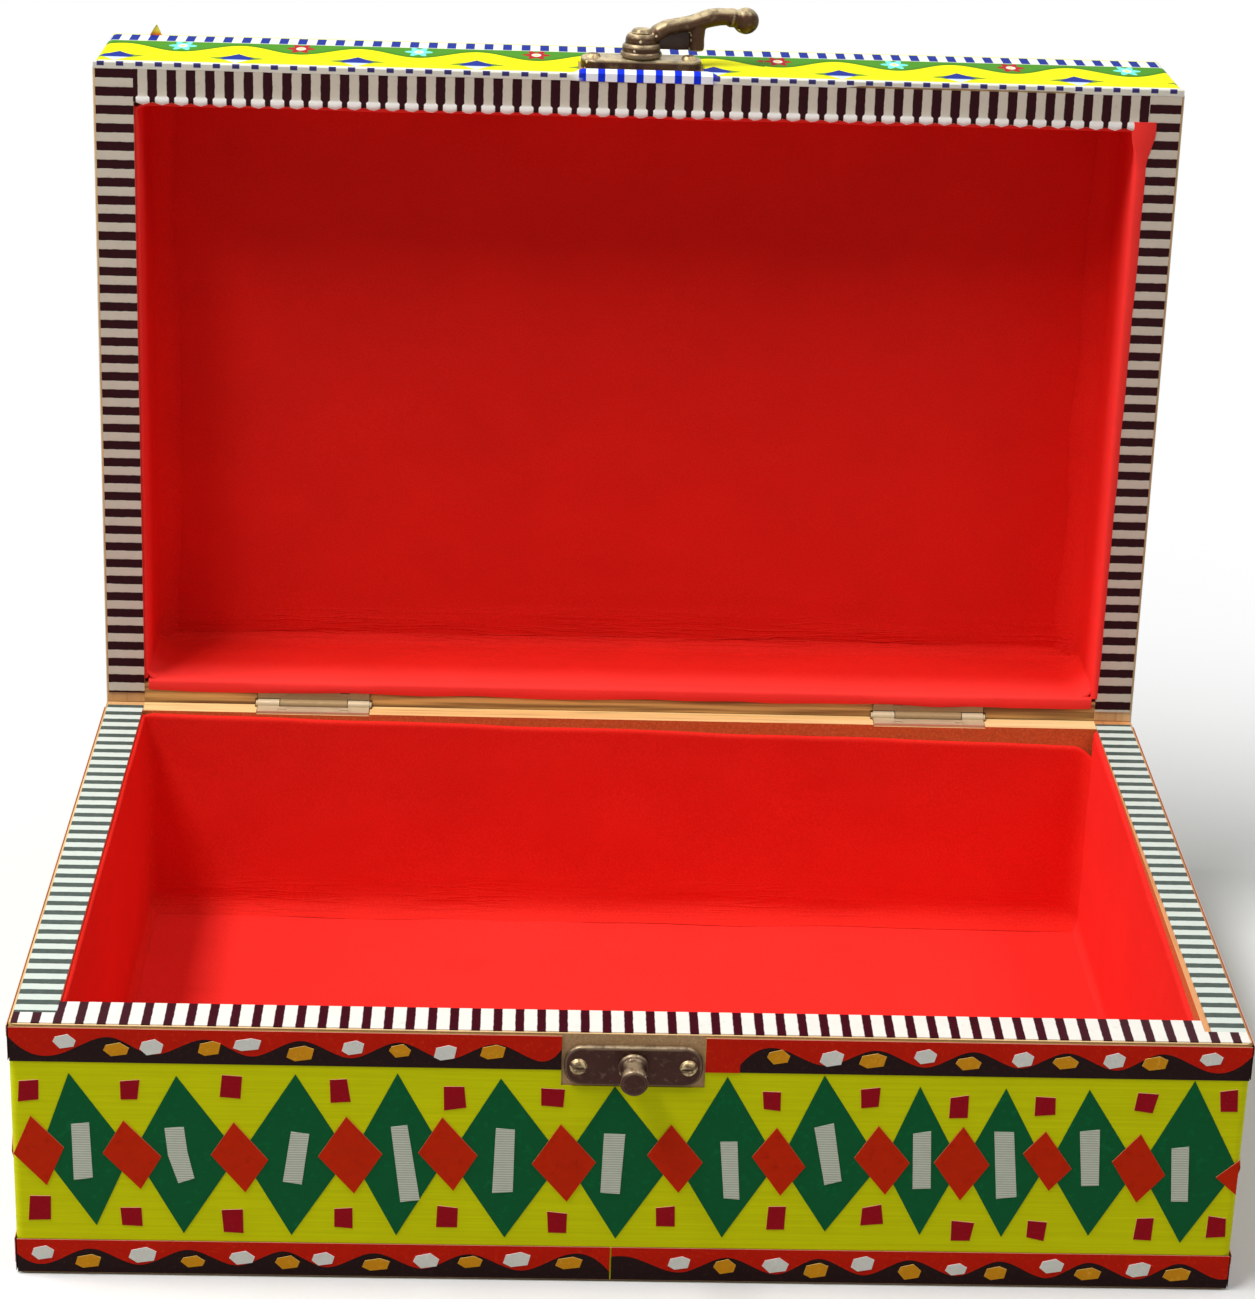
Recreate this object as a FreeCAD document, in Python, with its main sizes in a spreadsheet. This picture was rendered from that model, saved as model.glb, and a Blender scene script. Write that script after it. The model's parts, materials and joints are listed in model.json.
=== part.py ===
import FreeCAD, Part
import math
import os
import re

import Sketcher

# A lined wooden storage box with a hinged lid, a swing hook and vinyl ornament, in millimetres.
# The origin is the middle of the underside, +X runs to the right along the front, +Y to the back.
# The lid is drawn shut and then turned open about its hinge pins, which is how it stands at rest.

SIZES = {
    # Wooden carcass
    "box_width": 250,
    "box_depth": 161,
    "base_height": 58,
    "wall_thickness": 9,
    "bottom_thickness": 4,
    "bottom_rebate": 4.5,
    "corner_lap": 4,
    "corner_radius": 1.5,
    "rail_height": 29.5,
    "lid_top_thickness": 9,
    "lid_edge_radius": 6,
    "panel_pin_radius": 0.6,
    "panel_pin_length": 16,
    "panel_pin_margin": 12,
    "panel_pin_end": 45,
    "drill_clearance": 0.03,
    # Lining, rim tape and foil
    "lining_thickness": 1.1,
    "lining_drop": 0.4,
    "lining_slope": 3.8,
    "tape_thickness": 0.25,
    "tape_overlap": 4.5,
    "tape_back_stop": 6.6,
    "tape_skew": 1.4,
    "bare_edge": 0.4,
    "foil_thickness": 0.25,
    "foil_foot": 0.4,
    "window_margin": 0.5,
    # Hinges, set into the back rims
    "parting_gap": 0.3,
    "open_angle": 92,
    "stop_gap": 0.12,
    "hinge_inset": 4.5,
    "hinge_spacing": 150,
    "hinge_length": 27,
    "leaf_width": 4.3,
    "leaf_thickness": 0.7,
    "leaf_gap": 0.2,
    "knuckle_radius": 1.15,
    "outer_knuckle": 5.2,
    "knuckle_gap": 0.2,
    "pin_radius": 0.5,
    "pin_clearance": 0.05,
    "pin_head_radius": 0.85,
    "pin_head_height": 0.5,
    "mortise_gap": 0.2,
    "leaf_screw_spacing": 15,
    "leaf_screw_offset": 3,
    "leaf_screw_head": 1.1,
    "leaf_screw_shank": 0.55,
    "leaf_screw_length": 7,
    "slot_width": 0.4,
    "slot_depth": 0.35,
    # Catch on the base and hook on the lid
    "plate_length": 28,
    "plate_width": 9,
    "plate_thickness": 1.2,
    "hook_plate_thickness": 2.4,
    "plate_corner": 3.8,
    "plate_bevel": 0.4,
    "plate_screw_spacing": 22.2,
    "plate_screw_head": 1.8,
    "plate_screw_dome": 0.9,
    "plate_screw_shank": 0.9,
    "plate_screw_length": 7.5,
    "catch_drop": 6.9,
    "post_foot_radius": 3.2,
    "post_foot_height": 1.2,
    "post_neck_radius": 2.3,
    "post_head_radius": 2.9,
    "post_head_height": 2.4,
    "post_length": 6.9,
    "hook_rise": 10.5,
    "hook_rest_angle": 12,
    "hook_lift": 0.15,
    "hook_eye_radius": 4.5,
    "hook_eye_height": 5.6,
    "hook_arm_width": 5,
    "hook_arm_thickness": 3.2,
    "hook_arm_round": 0.5,
    "hook_leg_thickness": 3.8,
    "hook_leg_foot": 3.7,
    "hook_mouth": 6.6,
    "hook_mouth_clearance": 0.5,
    "hook_ball_radius": 3.2,
    "hook_ball_lift": 0.4,
    "rivet_radius": 1.4,
    "rivet_clearance": 0.05,
    "rivet_head_radius": 2.6,
    "rivet_head_height": 1.1,
    # Vinyl ornament
    "sticker_thickness": 0.14,
    "border_width": 7.8,
    "wave_length": 19.4,
    "wave_height": 2,
    "wave_plain": 7,
    "diamond_pitch": 20.8,
    "diamond_height": 36,
    "diamond_gap": 0.5,
    "seam_gap": 0.3,
    "orange_width": 11.4,
    "orange_height": 16,
    "bar_width": 3.8,
    "bar_height": 13,
    "square_width": 4,
    "square_height": 4.8,
    "square_margin": 6,
    "cutting_slip": 0.35,
    "pebble_width": 5,
    "pebble_height": 3.3,
    "top_margin": 8,
}

# Places worked out from the sizes
PLACES = {
    "half_width": "box_width / 2",
    "half_depth": "box_depth / 2",
    "inner_x": "half_width - wall_thickness",
    "inner_y": "half_depth - wall_thickness",
    "floor_z": "bottom_thickness + lining_thickness",
    "lining_top": "base_height - lining_drop",
    "pin_y": "half_depth - hinge_inset",
    "pin_z": "base_height + tape_thickness + parting_gap / 2",
    "lid_z": "base_height + 2 * tape_thickness + parting_gap",
    "lid_lining_z": "lid_z + lining_drop",
    "rail_top": "lid_z + rail_height",
    "lid_top": "rail_top + lid_top_thickness",
    "crown_z": "lid_top - lid_edge_radius",
    "bevel_slope": "tan(open_angle / 2 * 1 deg)",
    "catch_z": "base_height - catch_drop",
    "hook_z": "lid_z + hook_rise",
    "mouth_reach": "hook_z - catch_z",
    "leg_end": "mouth_reach - hook_mouth / 2",
    "leg_start": "leg_end - hook_leg_thickness",
    "ball_reach": "mouth_reach + hook_mouth / 2 + hook_ball_radius",
    "eye_bottom": "hook_plate_thickness + hook_lift",
    "eye_top": "eye_bottom + hook_eye_height",
    "mouth_roof": "plate_thickness + post_length + hook_mouth_clearance",
    "window_half": "plate_length / 2 + window_margin",
    "window_low": "catch_z - plate_width / 2 - window_margin",
}

# The front's vinyl as it was laid by hand on a front of this width, with a band of this height:
# places run along the front from its left end, and up or down from the middle of the band
FRONT_SPAN = 250
FRONT_BAND = 41.1
FRONT_EDGES = (5.2, 24, 45.7, 68.1, 87.9, 111.5, 134.1, 155.3, 176.4, 192.8, 210.3, 229.2, 249.8)
FRONT_TIPS = (
    (11.7, 18), (33.2, 17.7), (57.1, 18.5), (77.6, 19.1), (98.4, 18.3), (121.4, 16.9),
    (144.1, 19.5), (163.7, 20.2), (183.2, 18), (200.7, 17.9), (217.7, 17.9), (239, 20.3),
)
FRONT_FEET = (
    (16.4, -17.1), (34.1, -18.7), (56.1, -18.8), (77.5, -18.5), (99.7, -18.6), (122.5, -18.5),
    (144.4, -17.9), (165.6, -16.1), (185.2, -16.6), (202.1, -16.8), (220.1, -16.2), (239.3, -17.6),
)
# Each bar's place, height and lean in degrees; the one that was torn and laid in two is bent at its middle
FRONT_BENDS = {1: 11}
FRONT_BARS = (
    (13.8, 0.2, 12.7, 3), (33.2, -0.3, 13.1, 10), (57.3, -0.6, 12, -7), (79, -1.6, 17.6, 7),
    (99.2, -0.6, 14.9, -1), (121.3, -0.8, 14.4, -3), (145.5, -1.9, 13.7, 4), (165.5, 2.2, 13.7, 11),
    (184.6, 1.1, 13.4, 5), (201.6, 0.1, 15.7, 6), (219.1, 2, 13.1, 6), (238, -1.4, 12.9, 4),
)
# Each orange diamond's height above the middle, half width, half height, and shifts of tips and sides
FRONT_ORANGES = (
    (0.2, 5.1, 8.1, -1.4, 0.8), (-0.5, 5.9, 8, -1.6, -0.3), (-0.7, 5.8, 8.2, -1.1, -0.5),
    (0.2, 6.5, 9, -0.8, 0.4), (0.8, 6, 8.6, -1.2, -0.2), (-0.9, 6.5, 9.1, -0.8, 0.3),
    (0.5, 5.7, 8, -1, -0.8), (0.2, 5.5, 8, -0.7, -1.1), (0.9, 5.7, 8.1, -1.1, -0.5),
    (0.4, 5.7, 8.7, -0.2, -0.2), (1.3, 5.1, 7, -0.8, -1.7), (-0.1, 5.6, 8.1, -0.2, -1.5),
    (-1.9, 4.5, 4.1, 0, 0),
)
FRONT_SQUARES = (
    (3.5, 13.9), (23.8, 14.2), (44.3, 15.5), (65.8, 14.9), (89, 13.7), (108.8, 14.2),
    (153.3, 14.3), (173.3, 15.3), (191.4, 13.5), (208.8, 13.8), (229.5, 15), (246.5, 15.8),
    (4.9, -13.2), (23.5, -15), (44.3, -15.7), (66.6, -14.4), (88.1, -14), (110.4, -14.9),
    (132.7, -13.1), (155.4, -13.2), (175, -12.2), (193.8, -15.7), (209.3, -15), (231.6, -14.4),
    (246.6, -13.7),
)
# Crests and dips of the wave strips in turn, each strip from its first crest
UPPER_LEFT_WAVE = (0, 10.8, 20.5, 28.5, 39.5, 48.2, 58.2, 68.3, 77.9, 87.3, 97.4, 106.9, 112)
UPPER_RIGHT_WAVE = (154.1, 164, 174, 183.9, 193.5, 203.2, 212.3, 223.1, 231.2, 241, 250)
LOWER_LEFT_WAVE = (-4, 5.8, 15, 24.8, 35, 45.2, 54.7, 62.9, 73, 83, 92, 103.1, 112.5, 121.5)
LOWER_RIGHT_WAVE = (
    125.4, 136.6, 145.6, 156.4, 164.5, 174, 183.5, 193.7, 202, 212.5, 220.5, 231.1, 239.7, 248.9, 257,
)

doc = FreeCAD.newDocument("StorageBox")
nodes = []


def bound(text):
    """Puts the sheet's name before each size or place that an expression names."""
    def owner(match):
        word = match.group()
        if word in SIZES:
            return "Sizes." + word
        return "Places." + word if word in PLACES else word
    return re.sub(r"[a-z_]+", owner, text)


def fill_sheet(name, cells):
    """A sheet with one named value in each row."""
    sheet = doc.addObject("Spreadsheet::Sheet", name)
    for row, (alias, content) in enumerate(cells.items(), 1):
        sheet.set(f"A{row}", alias)
        sheet.set(f"B{row}", str(content))
        sheet.setAlias(f"B{row}", alias)
    doc.recompute()
    return sheet


sizes = fill_sheet("Sizes", SIZES)
places = fill_sheet("Places", {alias: "=" + bound(text) for alias, text in PLACES.items()})


def value(name):
    """The number that a size or place has now."""
    return float(getattr(sizes if name in SIZES else places, name))


def bind(item, prop, text):
    """Ties a property to an expression of sizes and places."""
    item.setExpression(prop, bound(text))


def vector(x, y, z):
    return FreeCAD.Vector(x, y, z)


def turn(axis, angle):
    return FreeCAD.Rotation(vector(*axis), angle)


LID_OPEN = FreeCAD.Placement(
    vector(0, 0, 0),
    turn((1, 0, 0), -value("open_angle")),
    vector(0, value("pin_y"), value("pin_z")),
)
AS_DRAWN = FreeCAD.Placement()


def node(item, label, place=AS_DRAWN):
    """Names a finished sub-part and puts it in its place."""
    item.Label = label
    item.Placement = place.multiply(item.Placement)
    nodes.append(item)
    return item


# Shapes that the pieces are made from


def block(name, low, span):
    """A box from its lowest corner and its three spans."""
    made = doc.addObject("Part::Box", name)
    for axis, start, prop, length in zip("xyz", low, ("Length", "Width", "Height"), span):
        bind(made, f".Placement.Base.{axis}", start)
        bind(made, prop, length)
    return made


def rod(name, radius, length, start, axis="Z"):
    """A cylinder that runs from its start along X or Z."""
    made = doc.addObject("Part::Cylinder", name)
    if axis == "X":
        made.Placement = FreeCAD.Placement(vector(0, 0, 0), turn((0, 1, 0), 90))
    bind(made, "Radius", radius)
    bind(made, "Height", length)
    for coordinate, text in zip("xyz", start):
        bind(made, f".Placement.Base.{coordinate}", text)
    return made


def cut(name, base, *tools):
    """The base with each tool taken away in turn."""
    for number, tool in enumerate(tools, 1):
        made = doc.addObject("Part::Cut", name if number == len(tools) else f"{name}_step")
        made.Base = base
        made.Tool = tool
        base = made
    return base


def joined(name, *items):
    made = doc.addObject("Part::MultiFuse", name)
    made.Shapes = list(items)
    return made


def shape_item(name, solids):
    """An object that holds solids made in code."""
    made = doc.addObject("Part::Feature", name)
    made.Shape = Part.makeCompound(solids)
    return made


def outline(body, role, corners, offset="0"):
    """A closed sketch on an origin plane, with a corner at each pair of expressions."""
    sketch = body.newObject("Sketcher::SketchObject", f"{body.Name}_outline")
    plane = next(item for item in body.Origin.OriginFeatures if item.Role == role)
    sketch.AttachmentSupport = [(plane, "")]
    sketch.MapMode = "FlatFace"
    bind(sketch, ".AttachmentOffset.Base.z", offset)
    count = len(corners)
    angles = [2 * math.pi * number / count for number in range(count)]
    ring = [vector(math.cos(angle), math.sin(angle), 0) for angle in angles]
    for number in range(count):
        sketch.addGeometry(Part.LineSegment(ring[number], ring[(number + 1) % count]))
    for number in range(count):
        sketch.addConstraint(Sketcher.Constraint("Coincident", number, 2, (number + 1) % count, 1))
    for number, corner in enumerate(corners):
        for kind, guess, text in zip(("DistanceX", "DistanceY"), ring[number], corner):
            index = sketch.addConstraint(Sketcher.Constraint(kind, -1, 1, number, 1, guess))
            sketch.setExpression(f"Constraints[{index}]", bound(text))
    return sketch


def prism(name, role, corners, length, offset="0", middle=False):
    """A body padded from an outline."""
    body = doc.addObject("PartDesign::Body", name)
    pad = body.newObject("PartDesign::Pad", f"{name}_pad")
    pad.Profile = outline(body, role, corners, offset)
    bind(pad, "Length", length)
    pad.Midplane = middle
    doc.recompute()
    return body


def rectangle(low, high):
    return [(low[0], low[1]), (high[0], low[1]), (high[0], high[1]), (low[0], high[1])]


def slab(name, low, high):
    """A board or sheet between two corners."""
    return prism(name, "XY_Plane", rectangle(low, high), f"({high[2]}) - ({low[2]})", low[2])


def dress(body, kind, prop, text, wanted):
    """Rounds or bevels the edges of a body that pass a test."""
    base = body.Tip
    names = [f"Edge{n}" for n, edge in enumerate(base.Shape.Edges, 1) if wanted(edge)]
    made = body.newObject(f"PartDesign::{kind}", f"{body.Name}_{kind}")
    made.Base = (base, names)
    bind(made, prop, text)
    doc.recompute()
    return body


def turned(name, corners):
    """A body turned about Z from an outline of radius and height."""
    body = doc.addObject("PartDesign::Body", name)
    revolution = body.newObject("PartDesign::Revolution", f"{name}_revolution")
    sketch = outline(body, "XZ_Plane", corners)
    revolution.Profile = sketch
    revolution.ReferenceAxis = (sketch, ["V_Axis"])
    doc.recompute()
    return body


def upright(edge):
    return abs(edge.tangentAt(edge.FirstParameter).z) > 0.99


def at_height(level):
    """A test for edges that lie at one height."""
    return lambda edge: all(abs(vertex.Z - level) < 0.001 for vertex in edge.Vertexes)


def mirrored_pair(text):
    return (f"-({text})", text)


# Panel pins: small round nails, each from its head along its direction


def pin_places(starts, direction):
    """Placements whose local Z runs along the direction."""
    aim = FreeCAD.Rotation(vector(0, 0, 1), vector(*direction))
    return [FreeCAD.Placement(vector(*start), aim) for start in starts]


def round_bars(name, radius, length, spots):
    """Equal round bars, each along the Z of its placement."""
    solids = []
    for spot in spots:
        bar = Part.makeCylinder(radius, length)
        bar.Placement = spot
        solids.append(bar)
    return shape_item(name, solids)


def corner_pin_places(heights):
    """Pins through the laps of the front and back into the ends of the sides."""
    x = value("half_width") - value("wall_thickness") / 2
    y = value("half_depth")
    spots = []
    for z in heights:
        spots += pin_places([(-x, -y, z), (x, -y, z)], (0, 1, 0))
        spots += pin_places([(-x, y, z), (x, y, z)], (0, -1, 0))
    return spots


def edge_pin_places(x, y, z, direction):
    """Pins along all four sides, square to the bottom or the top."""
    end = value("panel_pin_end")
    along_x = (end - value("half_width"), 0, value("half_width") - end)
    along_y = (end - value("half_depth"), value("half_depth") - end)
    starts = [(u, side * y, z) for u in along_x for side in (-1, 1)]
    starts += [(side * x, v, z) for v in along_y for side in (-1, 1)]
    return pin_places(starts, direction)


def panel_pins(name, spots, place=AS_DRAWN):
    """The pins themselves as a sub-part, and the holes that take them."""
    radius = value("panel_pin_radius")
    length = value("panel_pin_length")
    node(round_bars(name, radius, length, spots), name, place)
    return round_bars(f"{name}_holes", radius + value("drill_clearance"), length, spots)


# Wooden walls: the front and back lap over the ends of the sides


def lapped_wall(name, side, low, height):
    """A front (side -1) or back (side 1) board with a rebate at each end."""
    outer = f"{side} * half_depth"
    lap = f"{side} * (half_depth - corner_lap)"
    inner = f"{side} * inner_y"
    corners = [
        ("-half_width", outer), ("half_width", outer), ("half_width", lap), ("inner_x", lap),
        ("inner_x", inner), ("-inner_x", inner), ("-inner_x", lap), ("-half_width", lap),
    ]
    body = prism(name, "XY_Plane", corners, height, low)
    edge_y = side * value("half_depth")
    outside = lambda edge: upright(edge) and abs(edge.Vertexes[0].Y - edge_y) < 0.001
    return dress(body, "Fillet", "Radius", "corner_radius", outside)


def side_wall(name, side, low, high):
    """A left (side -1) or right (side 1) board between the laps."""
    xs = ("-half_width", "-inner_x") if side < 0 else ("inner_x", "half_width")
    ends = mirrored_pair("half_depth - corner_lap")
    return slab(name, (xs[0], ends[0], low), (xs[1], ends[1], high))


# The back edges are bevelled down from the pins, so that the open lid stops against the base


def bevel_cutter(name, sign):
    """A wedge along the back that leaves the base (sign -1) or lid (sign 1) its bevel."""
    reach = "wall_thickness"
    inside_z = f"pin_z + {sign} * (stop_gap - {reach} * bevel_slope)"
    outside_z = f"pin_z + {sign} * (stop_gap + (hinge_inset + {reach}) * bevel_slope)"
    outside_y = f"half_depth + {reach}"
    corners = [(f"pin_y - {reach}", inside_z), (outside_y, outside_z), (outside_y, inside_z)]
    return prism(name, "YZ_Plane", corners, "box_width + 2 * wall_thickness", middle=True)


def hinge_mortise(name, x, sign):
    """The pocket for a leaf and its knuckles, in the base (sign -1) or the lid (sign 1)."""
    half = "(hinge_length / 2 + mortise_gap)"
    depth = "(leaf_gap / 2 + leaf_thickness)"
    low = f"pin_z - {depth}" if sign < 0 else "pin_z"
    pocket = block(
        f"{name}_pocket",
        (f"{x} - {half}", "inner_y", low),
        (f"2 * {half}", "pin_y - inner_y", depth),
    )
    reach = "(hinge_length / 2 + pin_head_height + mortise_gap)"
    groove = rod(
        f"{name}_groove",
        "knuckle_radius + mortise_gap",
        f"2 * {reach}",
        (f"{x} - {reach}", "pin_y", "pin_z"),
        "X",
    )
    return joined(name, pocket, groove)


HINGES = {"left": "-hinge_spacing / 2", "right": "hinge_spacing / 2"}


def leaf_screw_places(sign):
    """Where the leaves' screws start, at the face of the base (sign -1) or lid (sign 1) leaf."""
    y = value("pin_y") - value("leaf_screw_offset")
    z = value("pin_z") + sign * value("leaf_gap") / 2
    half = value("leaf_screw_spacing") / 2
    middles = (-value("hinge_spacing") / 2, value("hinge_spacing") / 2)
    starts = [(x + step, y, z) for x in middles for step in (-half, half)]
    return pin_places(starts, (0, 0, -sign))


def screw_holes(name, shank, length, spots):
    """Pilot holes that run from each head against the Z of its placement."""
    below = FreeCAD.Placement(vector(0, 0, -value(length)), FreeCAD.Rotation())
    radius = value(shank) + value("drill_clearance")
    return round_bars(name, radius, value(length), [spot.multiply(below) for spot in spots])


def plate_screw_places(z):
    """Where a latch plate's screws start, at the front of the wood."""
    half = value("plate_screw_spacing") / 2
    starts = [(x, -value("half_depth"), z) for x in (-half, half)]
    return pin_places(starts, (0, -1, 0))


def make_base_carcass():
    bottom_low = ("-(inner_x + bottom_rebate)", "-(inner_y + bottom_rebate)", "0")
    bottom_high = ("inner_x + bottom_rebate", "inner_y + bottom_rebate", "bottom_thickness")
    bottom = slab("base_bottom_blank", bottom_low, bottom_high)
    margin = value("panel_pin_margin")
    spots = corner_pin_places((margin, value("base_height") - margin))
    middle = value("bottom_rebate") / 2
    spots += edge_pin_places(value("inner_x") + middle, value("inner_y") + middle, 0, (0, 0, 1))
    pin_holes = panel_pins("base_panel_pins", spots)
    bevel = bevel_cutter("base_bevel", -1)
    mortises = [hinge_mortise(f"base_{side}_mortise", x, -1) for side, x in HINGES.items()]
    leaf_holes = screw_holes(
        "base_leaf_holes", "leaf_screw_shank", "leaf_screw_length", leaf_screw_places(-1))
    catch_holes = screw_holes(
        "catch_holes", "plate_screw_shank", "plate_screw_length", plate_screw_places(value("catch_z")))
    front = lapped_wall("base_front_blank", -1, "0", "base_height")
    back = lapped_wall("base_back_blank", 1, "0", "base_height")
    left = side_wall("base_left_blank", -1, "0", "base_height")
    right = side_wall("base_right_blank", 1, "0", "base_height")
    node(cut("base_front_panel", front, bottom, pin_holes, catch_holes), "base_front_panel")
    back_tools = (bottom, pin_holes, bevel, *mortises, leaf_holes)
    node(cut("base_back_panel", back, *back_tools), "base_back_panel")
    node(cut("base_left_panel", left, bottom, pin_holes, bevel), "base_left_panel")
    node(cut("base_right_panel", right, bottom, pin_holes, bevel), "base_right_panel")
    node(cut("base_bottom_panel", bottom, pin_holes), "base_bottom_panel")
    return bevel


def crowned_block(name, low, grow):
    """A block whose four upper edges are rounded, grown by a skin's thickness."""
    half_x = f"(half_width + {grow})"
    half_y = f"(half_depth + {grow})"
    height = f"lid_top + {grow} - ({low})"
    radius = f"lid_edge_radius + {grow}"
    top = value("lid_top") + (value("foil_thickness") if grow != "0" else 0)
    plan = rectangle((f"-{half_x}", f"-{half_y}"), (half_x, half_y))
    plain = prism(f"{name}_plan", "XY_Plane", plan, height, low)
    dress(plain, "Fillet", "Radius", f"corner_radius + {grow}", upright)
    rounded = []
    for axis in (0, 1):
        body = prism(f"{name}_round", "XY_Plane", plan, height, low)
        level = at_height(top)
        along = lambda edge: level(edge) and abs(edge.tangentAt(edge.FirstParameter)[axis]) > 0.99
        rounded.append(dress(body, "Fillet", "Radius", radius, along))
    common = doc.addObject("Part::MultiCommon", name)
    common.Shapes = [plain, *rounded]
    return common


def make_lid_carcass():
    inset = value("lid_edge_radius") + value("panel_pin_radius")
    spots = corner_pin_places((value("lid_z") + value("panel_pin_margin"),))
    top_spots = (value("half_width") - inset, value("half_depth") - inset, value("lid_top"))
    spots += edge_pin_places(*top_spots, (0, 0, -1))
    pin_holes = panel_pins("lid_panel_pins", spots, LID_OPEN)
    bevel = bevel_cutter("lid_bevel", 1)
    mortises = [hinge_mortise(f"lid_{side}_mortise", x, 1) for side, x in HINGES.items()]
    leaf_holes = screw_holes(
        "lid_leaf_holes", "leaf_screw_shank", "leaf_screw_length", leaf_screw_places(1))
    hook_holes = screw_holes(
        "hook_holes", "plate_screw_shank", "plate_screw_length", plate_screw_places(value("hook_z")))
    front = lapped_wall("lid_front_blank", -1, "lid_z", "rail_height")
    back = lapped_wall("lid_back_blank", 1, "lid_z", "rail_height")
    left = side_wall("lid_left_blank", -1, "lid_z", "rail_top")
    right = side_wall("lid_right_blank", 1, "lid_z", "rail_top")
    top = crowned_block("lid_top_blank", "rail_top", "0")
    node(cut("lid_front_rail", front, pin_holes, hook_holes), "lid_front_rail", LID_OPEN)
    back_tools = (pin_holes, bevel, *mortises, leaf_holes)
    node(cut("lid_back_rail", back, *back_tools), "lid_back_rail", LID_OPEN)
    node(cut("lid_left_rail", left, pin_holes, bevel), "lid_left_rail", LID_OPEN)
    node(cut("lid_right_rail", right, pin_holes, bevel), "lid_right_rail", LID_OPEN)
    node(cut("lid_top_panel", top, pin_holes), "lid_top_panel", LID_OPEN)
    return bevel, top


# Red lining: one sheet on the floor or top, and one on each wall


def wall_linings(prefix, low, high, place):
    """The front, left and right sheets, and the room that the back sheet takes."""
    inner = "(inner_y - lining_thickness)"
    depth = mirrored_pair(inner)
    near = slab(f"{prefix}_front_lining", ("-inner_x", "-inner_y", low), ("inner_x", depth[0], high))
    left_edges = ("-inner_x", "lining_thickness - inner_x")
    right_edges = ("inner_x - lining_thickness", "inner_x")
    node(near, f"{prefix}_front_lining", place)
    for side, (start, end) in (("left", left_edges), ("right", right_edges)):
        name = f"{prefix}_{side}_lining"
        node(slab(name, (start, depth[0], low), (end, depth[1], high)), name, place)
    return depth[1]


def make_linings():
    floor = slab(
        "base_floor_lining",
        ("-inner_x", "-inner_y", "bottom_thickness"),
        ("inner_x", "inner_y", "floor_z"),
    )
    node(floor, "base_floor_lining")
    back_face = wall_linings("base", "floor_z", "lining_top", AS_DRAWN)
    sloped = [
        ("-inner_x", "floor_z"), ("inner_x", "floor_z"),
        ("inner_x", "lining_top - lining_slope"), ("-inner_x", "lining_top"),
    ]
    back = prism("base_back_lining", "XZ_Plane", sloped, "lining_thickness", "-inner_y")
    node(back, "base_back_lining")
    ceiling = slab(
        "lid_top_lining",
        ("-inner_x", "-inner_y", "rail_top - lining_thickness"),
        ("inner_x", "inner_y", "rail_top"),
    )
    node(ceiling, "lid_top_lining", LID_OPEN)
    low = "lid_lining_z"
    high = "rail_top - lining_thickness"
    wall_linings("lid", low, high, LID_OPEN)
    rear = slab("lid_back_lining", ("-inner_x", back_face, low), ("inner_x", "inner_y", high))
    node(rear, "lid_back_lining", LID_OPEN)


# Striped rim tape on the front and the sides; the side tapes lie over the ends of the front one


def rim_tapes(prefix, low, place):
    """Three tapes on a rim whose wood starts or ends at the given height."""
    outer_x = "(half_width - bare_edge)"
    outer_y = "(half_depth - bare_edge)"
    step_y = "(half_depth - tape_overlap)"
    front = [
        (f"-{outer_x}", f"-{outer_y}"), (outer_x, f"-{outer_y}"), (outer_x, f"-{step_y}"),
        ("inner_x", f"-{step_y}"), ("inner_x", "-inner_y"), ("-inner_x", "-inner_y"),
        ("-inner_x", f"-{step_y}"), (f"-{outer_x}", f"-{step_y}"),
    ]
    back_y = "half_depth - tape_back_stop"
    left = rectangle((f"-{outer_x}", f"-{step_y}"), ("-inner_x", back_y))
    right = [
        ("inner_x + tape_skew", f"-{step_y}"), (outer_x, f"-{step_y}"),
        (outer_x, back_y), ("inner_x", back_y),
    ]
    for side, corners in (("front", front), ("left", left), ("right", right)):
        name = f"{prefix}_{side}_rim_tape"
        node(prism(name, "XY_Plane", corners, "tape_thickness", low), name, place)


# Foil wrapped round the sides


def wrap_ring(name, low, high):
    """A skin round the four sides with rounded corners."""
    height = f"({high}) - ({low})"
    skins = []
    for grow in ("foil_thickness", "0"):
        half = (f"half_width + {grow}", f"half_depth + {grow}")
        plan = rectangle((f"-({half[0]})", f"-({half[1]})"), half)
        body = prism(f"{name}_skin", "XY_Plane", plan, height, low)
        skins.append(dress(body, "Fillet", "Radius", f"corner_radius + {grow}", upright))
    return cut(f"{name}_ring", *skins)


def latch_window(name, low, height):
    """The bare place that is left in the foil round a latch plate."""
    depth = "corner_lap"
    return block(
        name,
        ("-window_half", f"-half_depth - {depth}", low),
        ("2 * window_half", f"2 * {depth}", height),
    )


def make_foils(base_bevel, lid_bevel, lid_crown):
    ring = wrap_ring("base_wrap", "foil_foot", "base_height - bare_edge")
    window = latch_window("catch_window", "window_low", "base_height - window_low")
    node(cut("base_wrap_foil", ring, base_bevel, window), "base_wrap_foil")
    ring = wrap_ring("lid_wrap", "lid_z + bare_edge", "crown_z")
    height = "plate_width + 2 * window_margin"
    window = latch_window("hook_window", f"hook_z - ({height}) / 2", height)
    node(cut("lid_side_tape", ring, lid_bevel, window), "lid_side_tape", LID_OPEN)
    skin = crowned_block("lid_skin", "rail_top", "foil_thickness")
    foot = block(
        "lid_skin_foot",
        ("-box_width", "-box_depth", "rail_top"),
        ("2 * box_width", "2 * box_depth", "crown_z - rail_top"),
    )
    node(cut("lid_top_foil", skin, lid_crown, foot), "lid_top_foil", LID_OPEN)


# Hinges: two leaves, a loose pin with a head at each end, and countersunk screws


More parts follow.
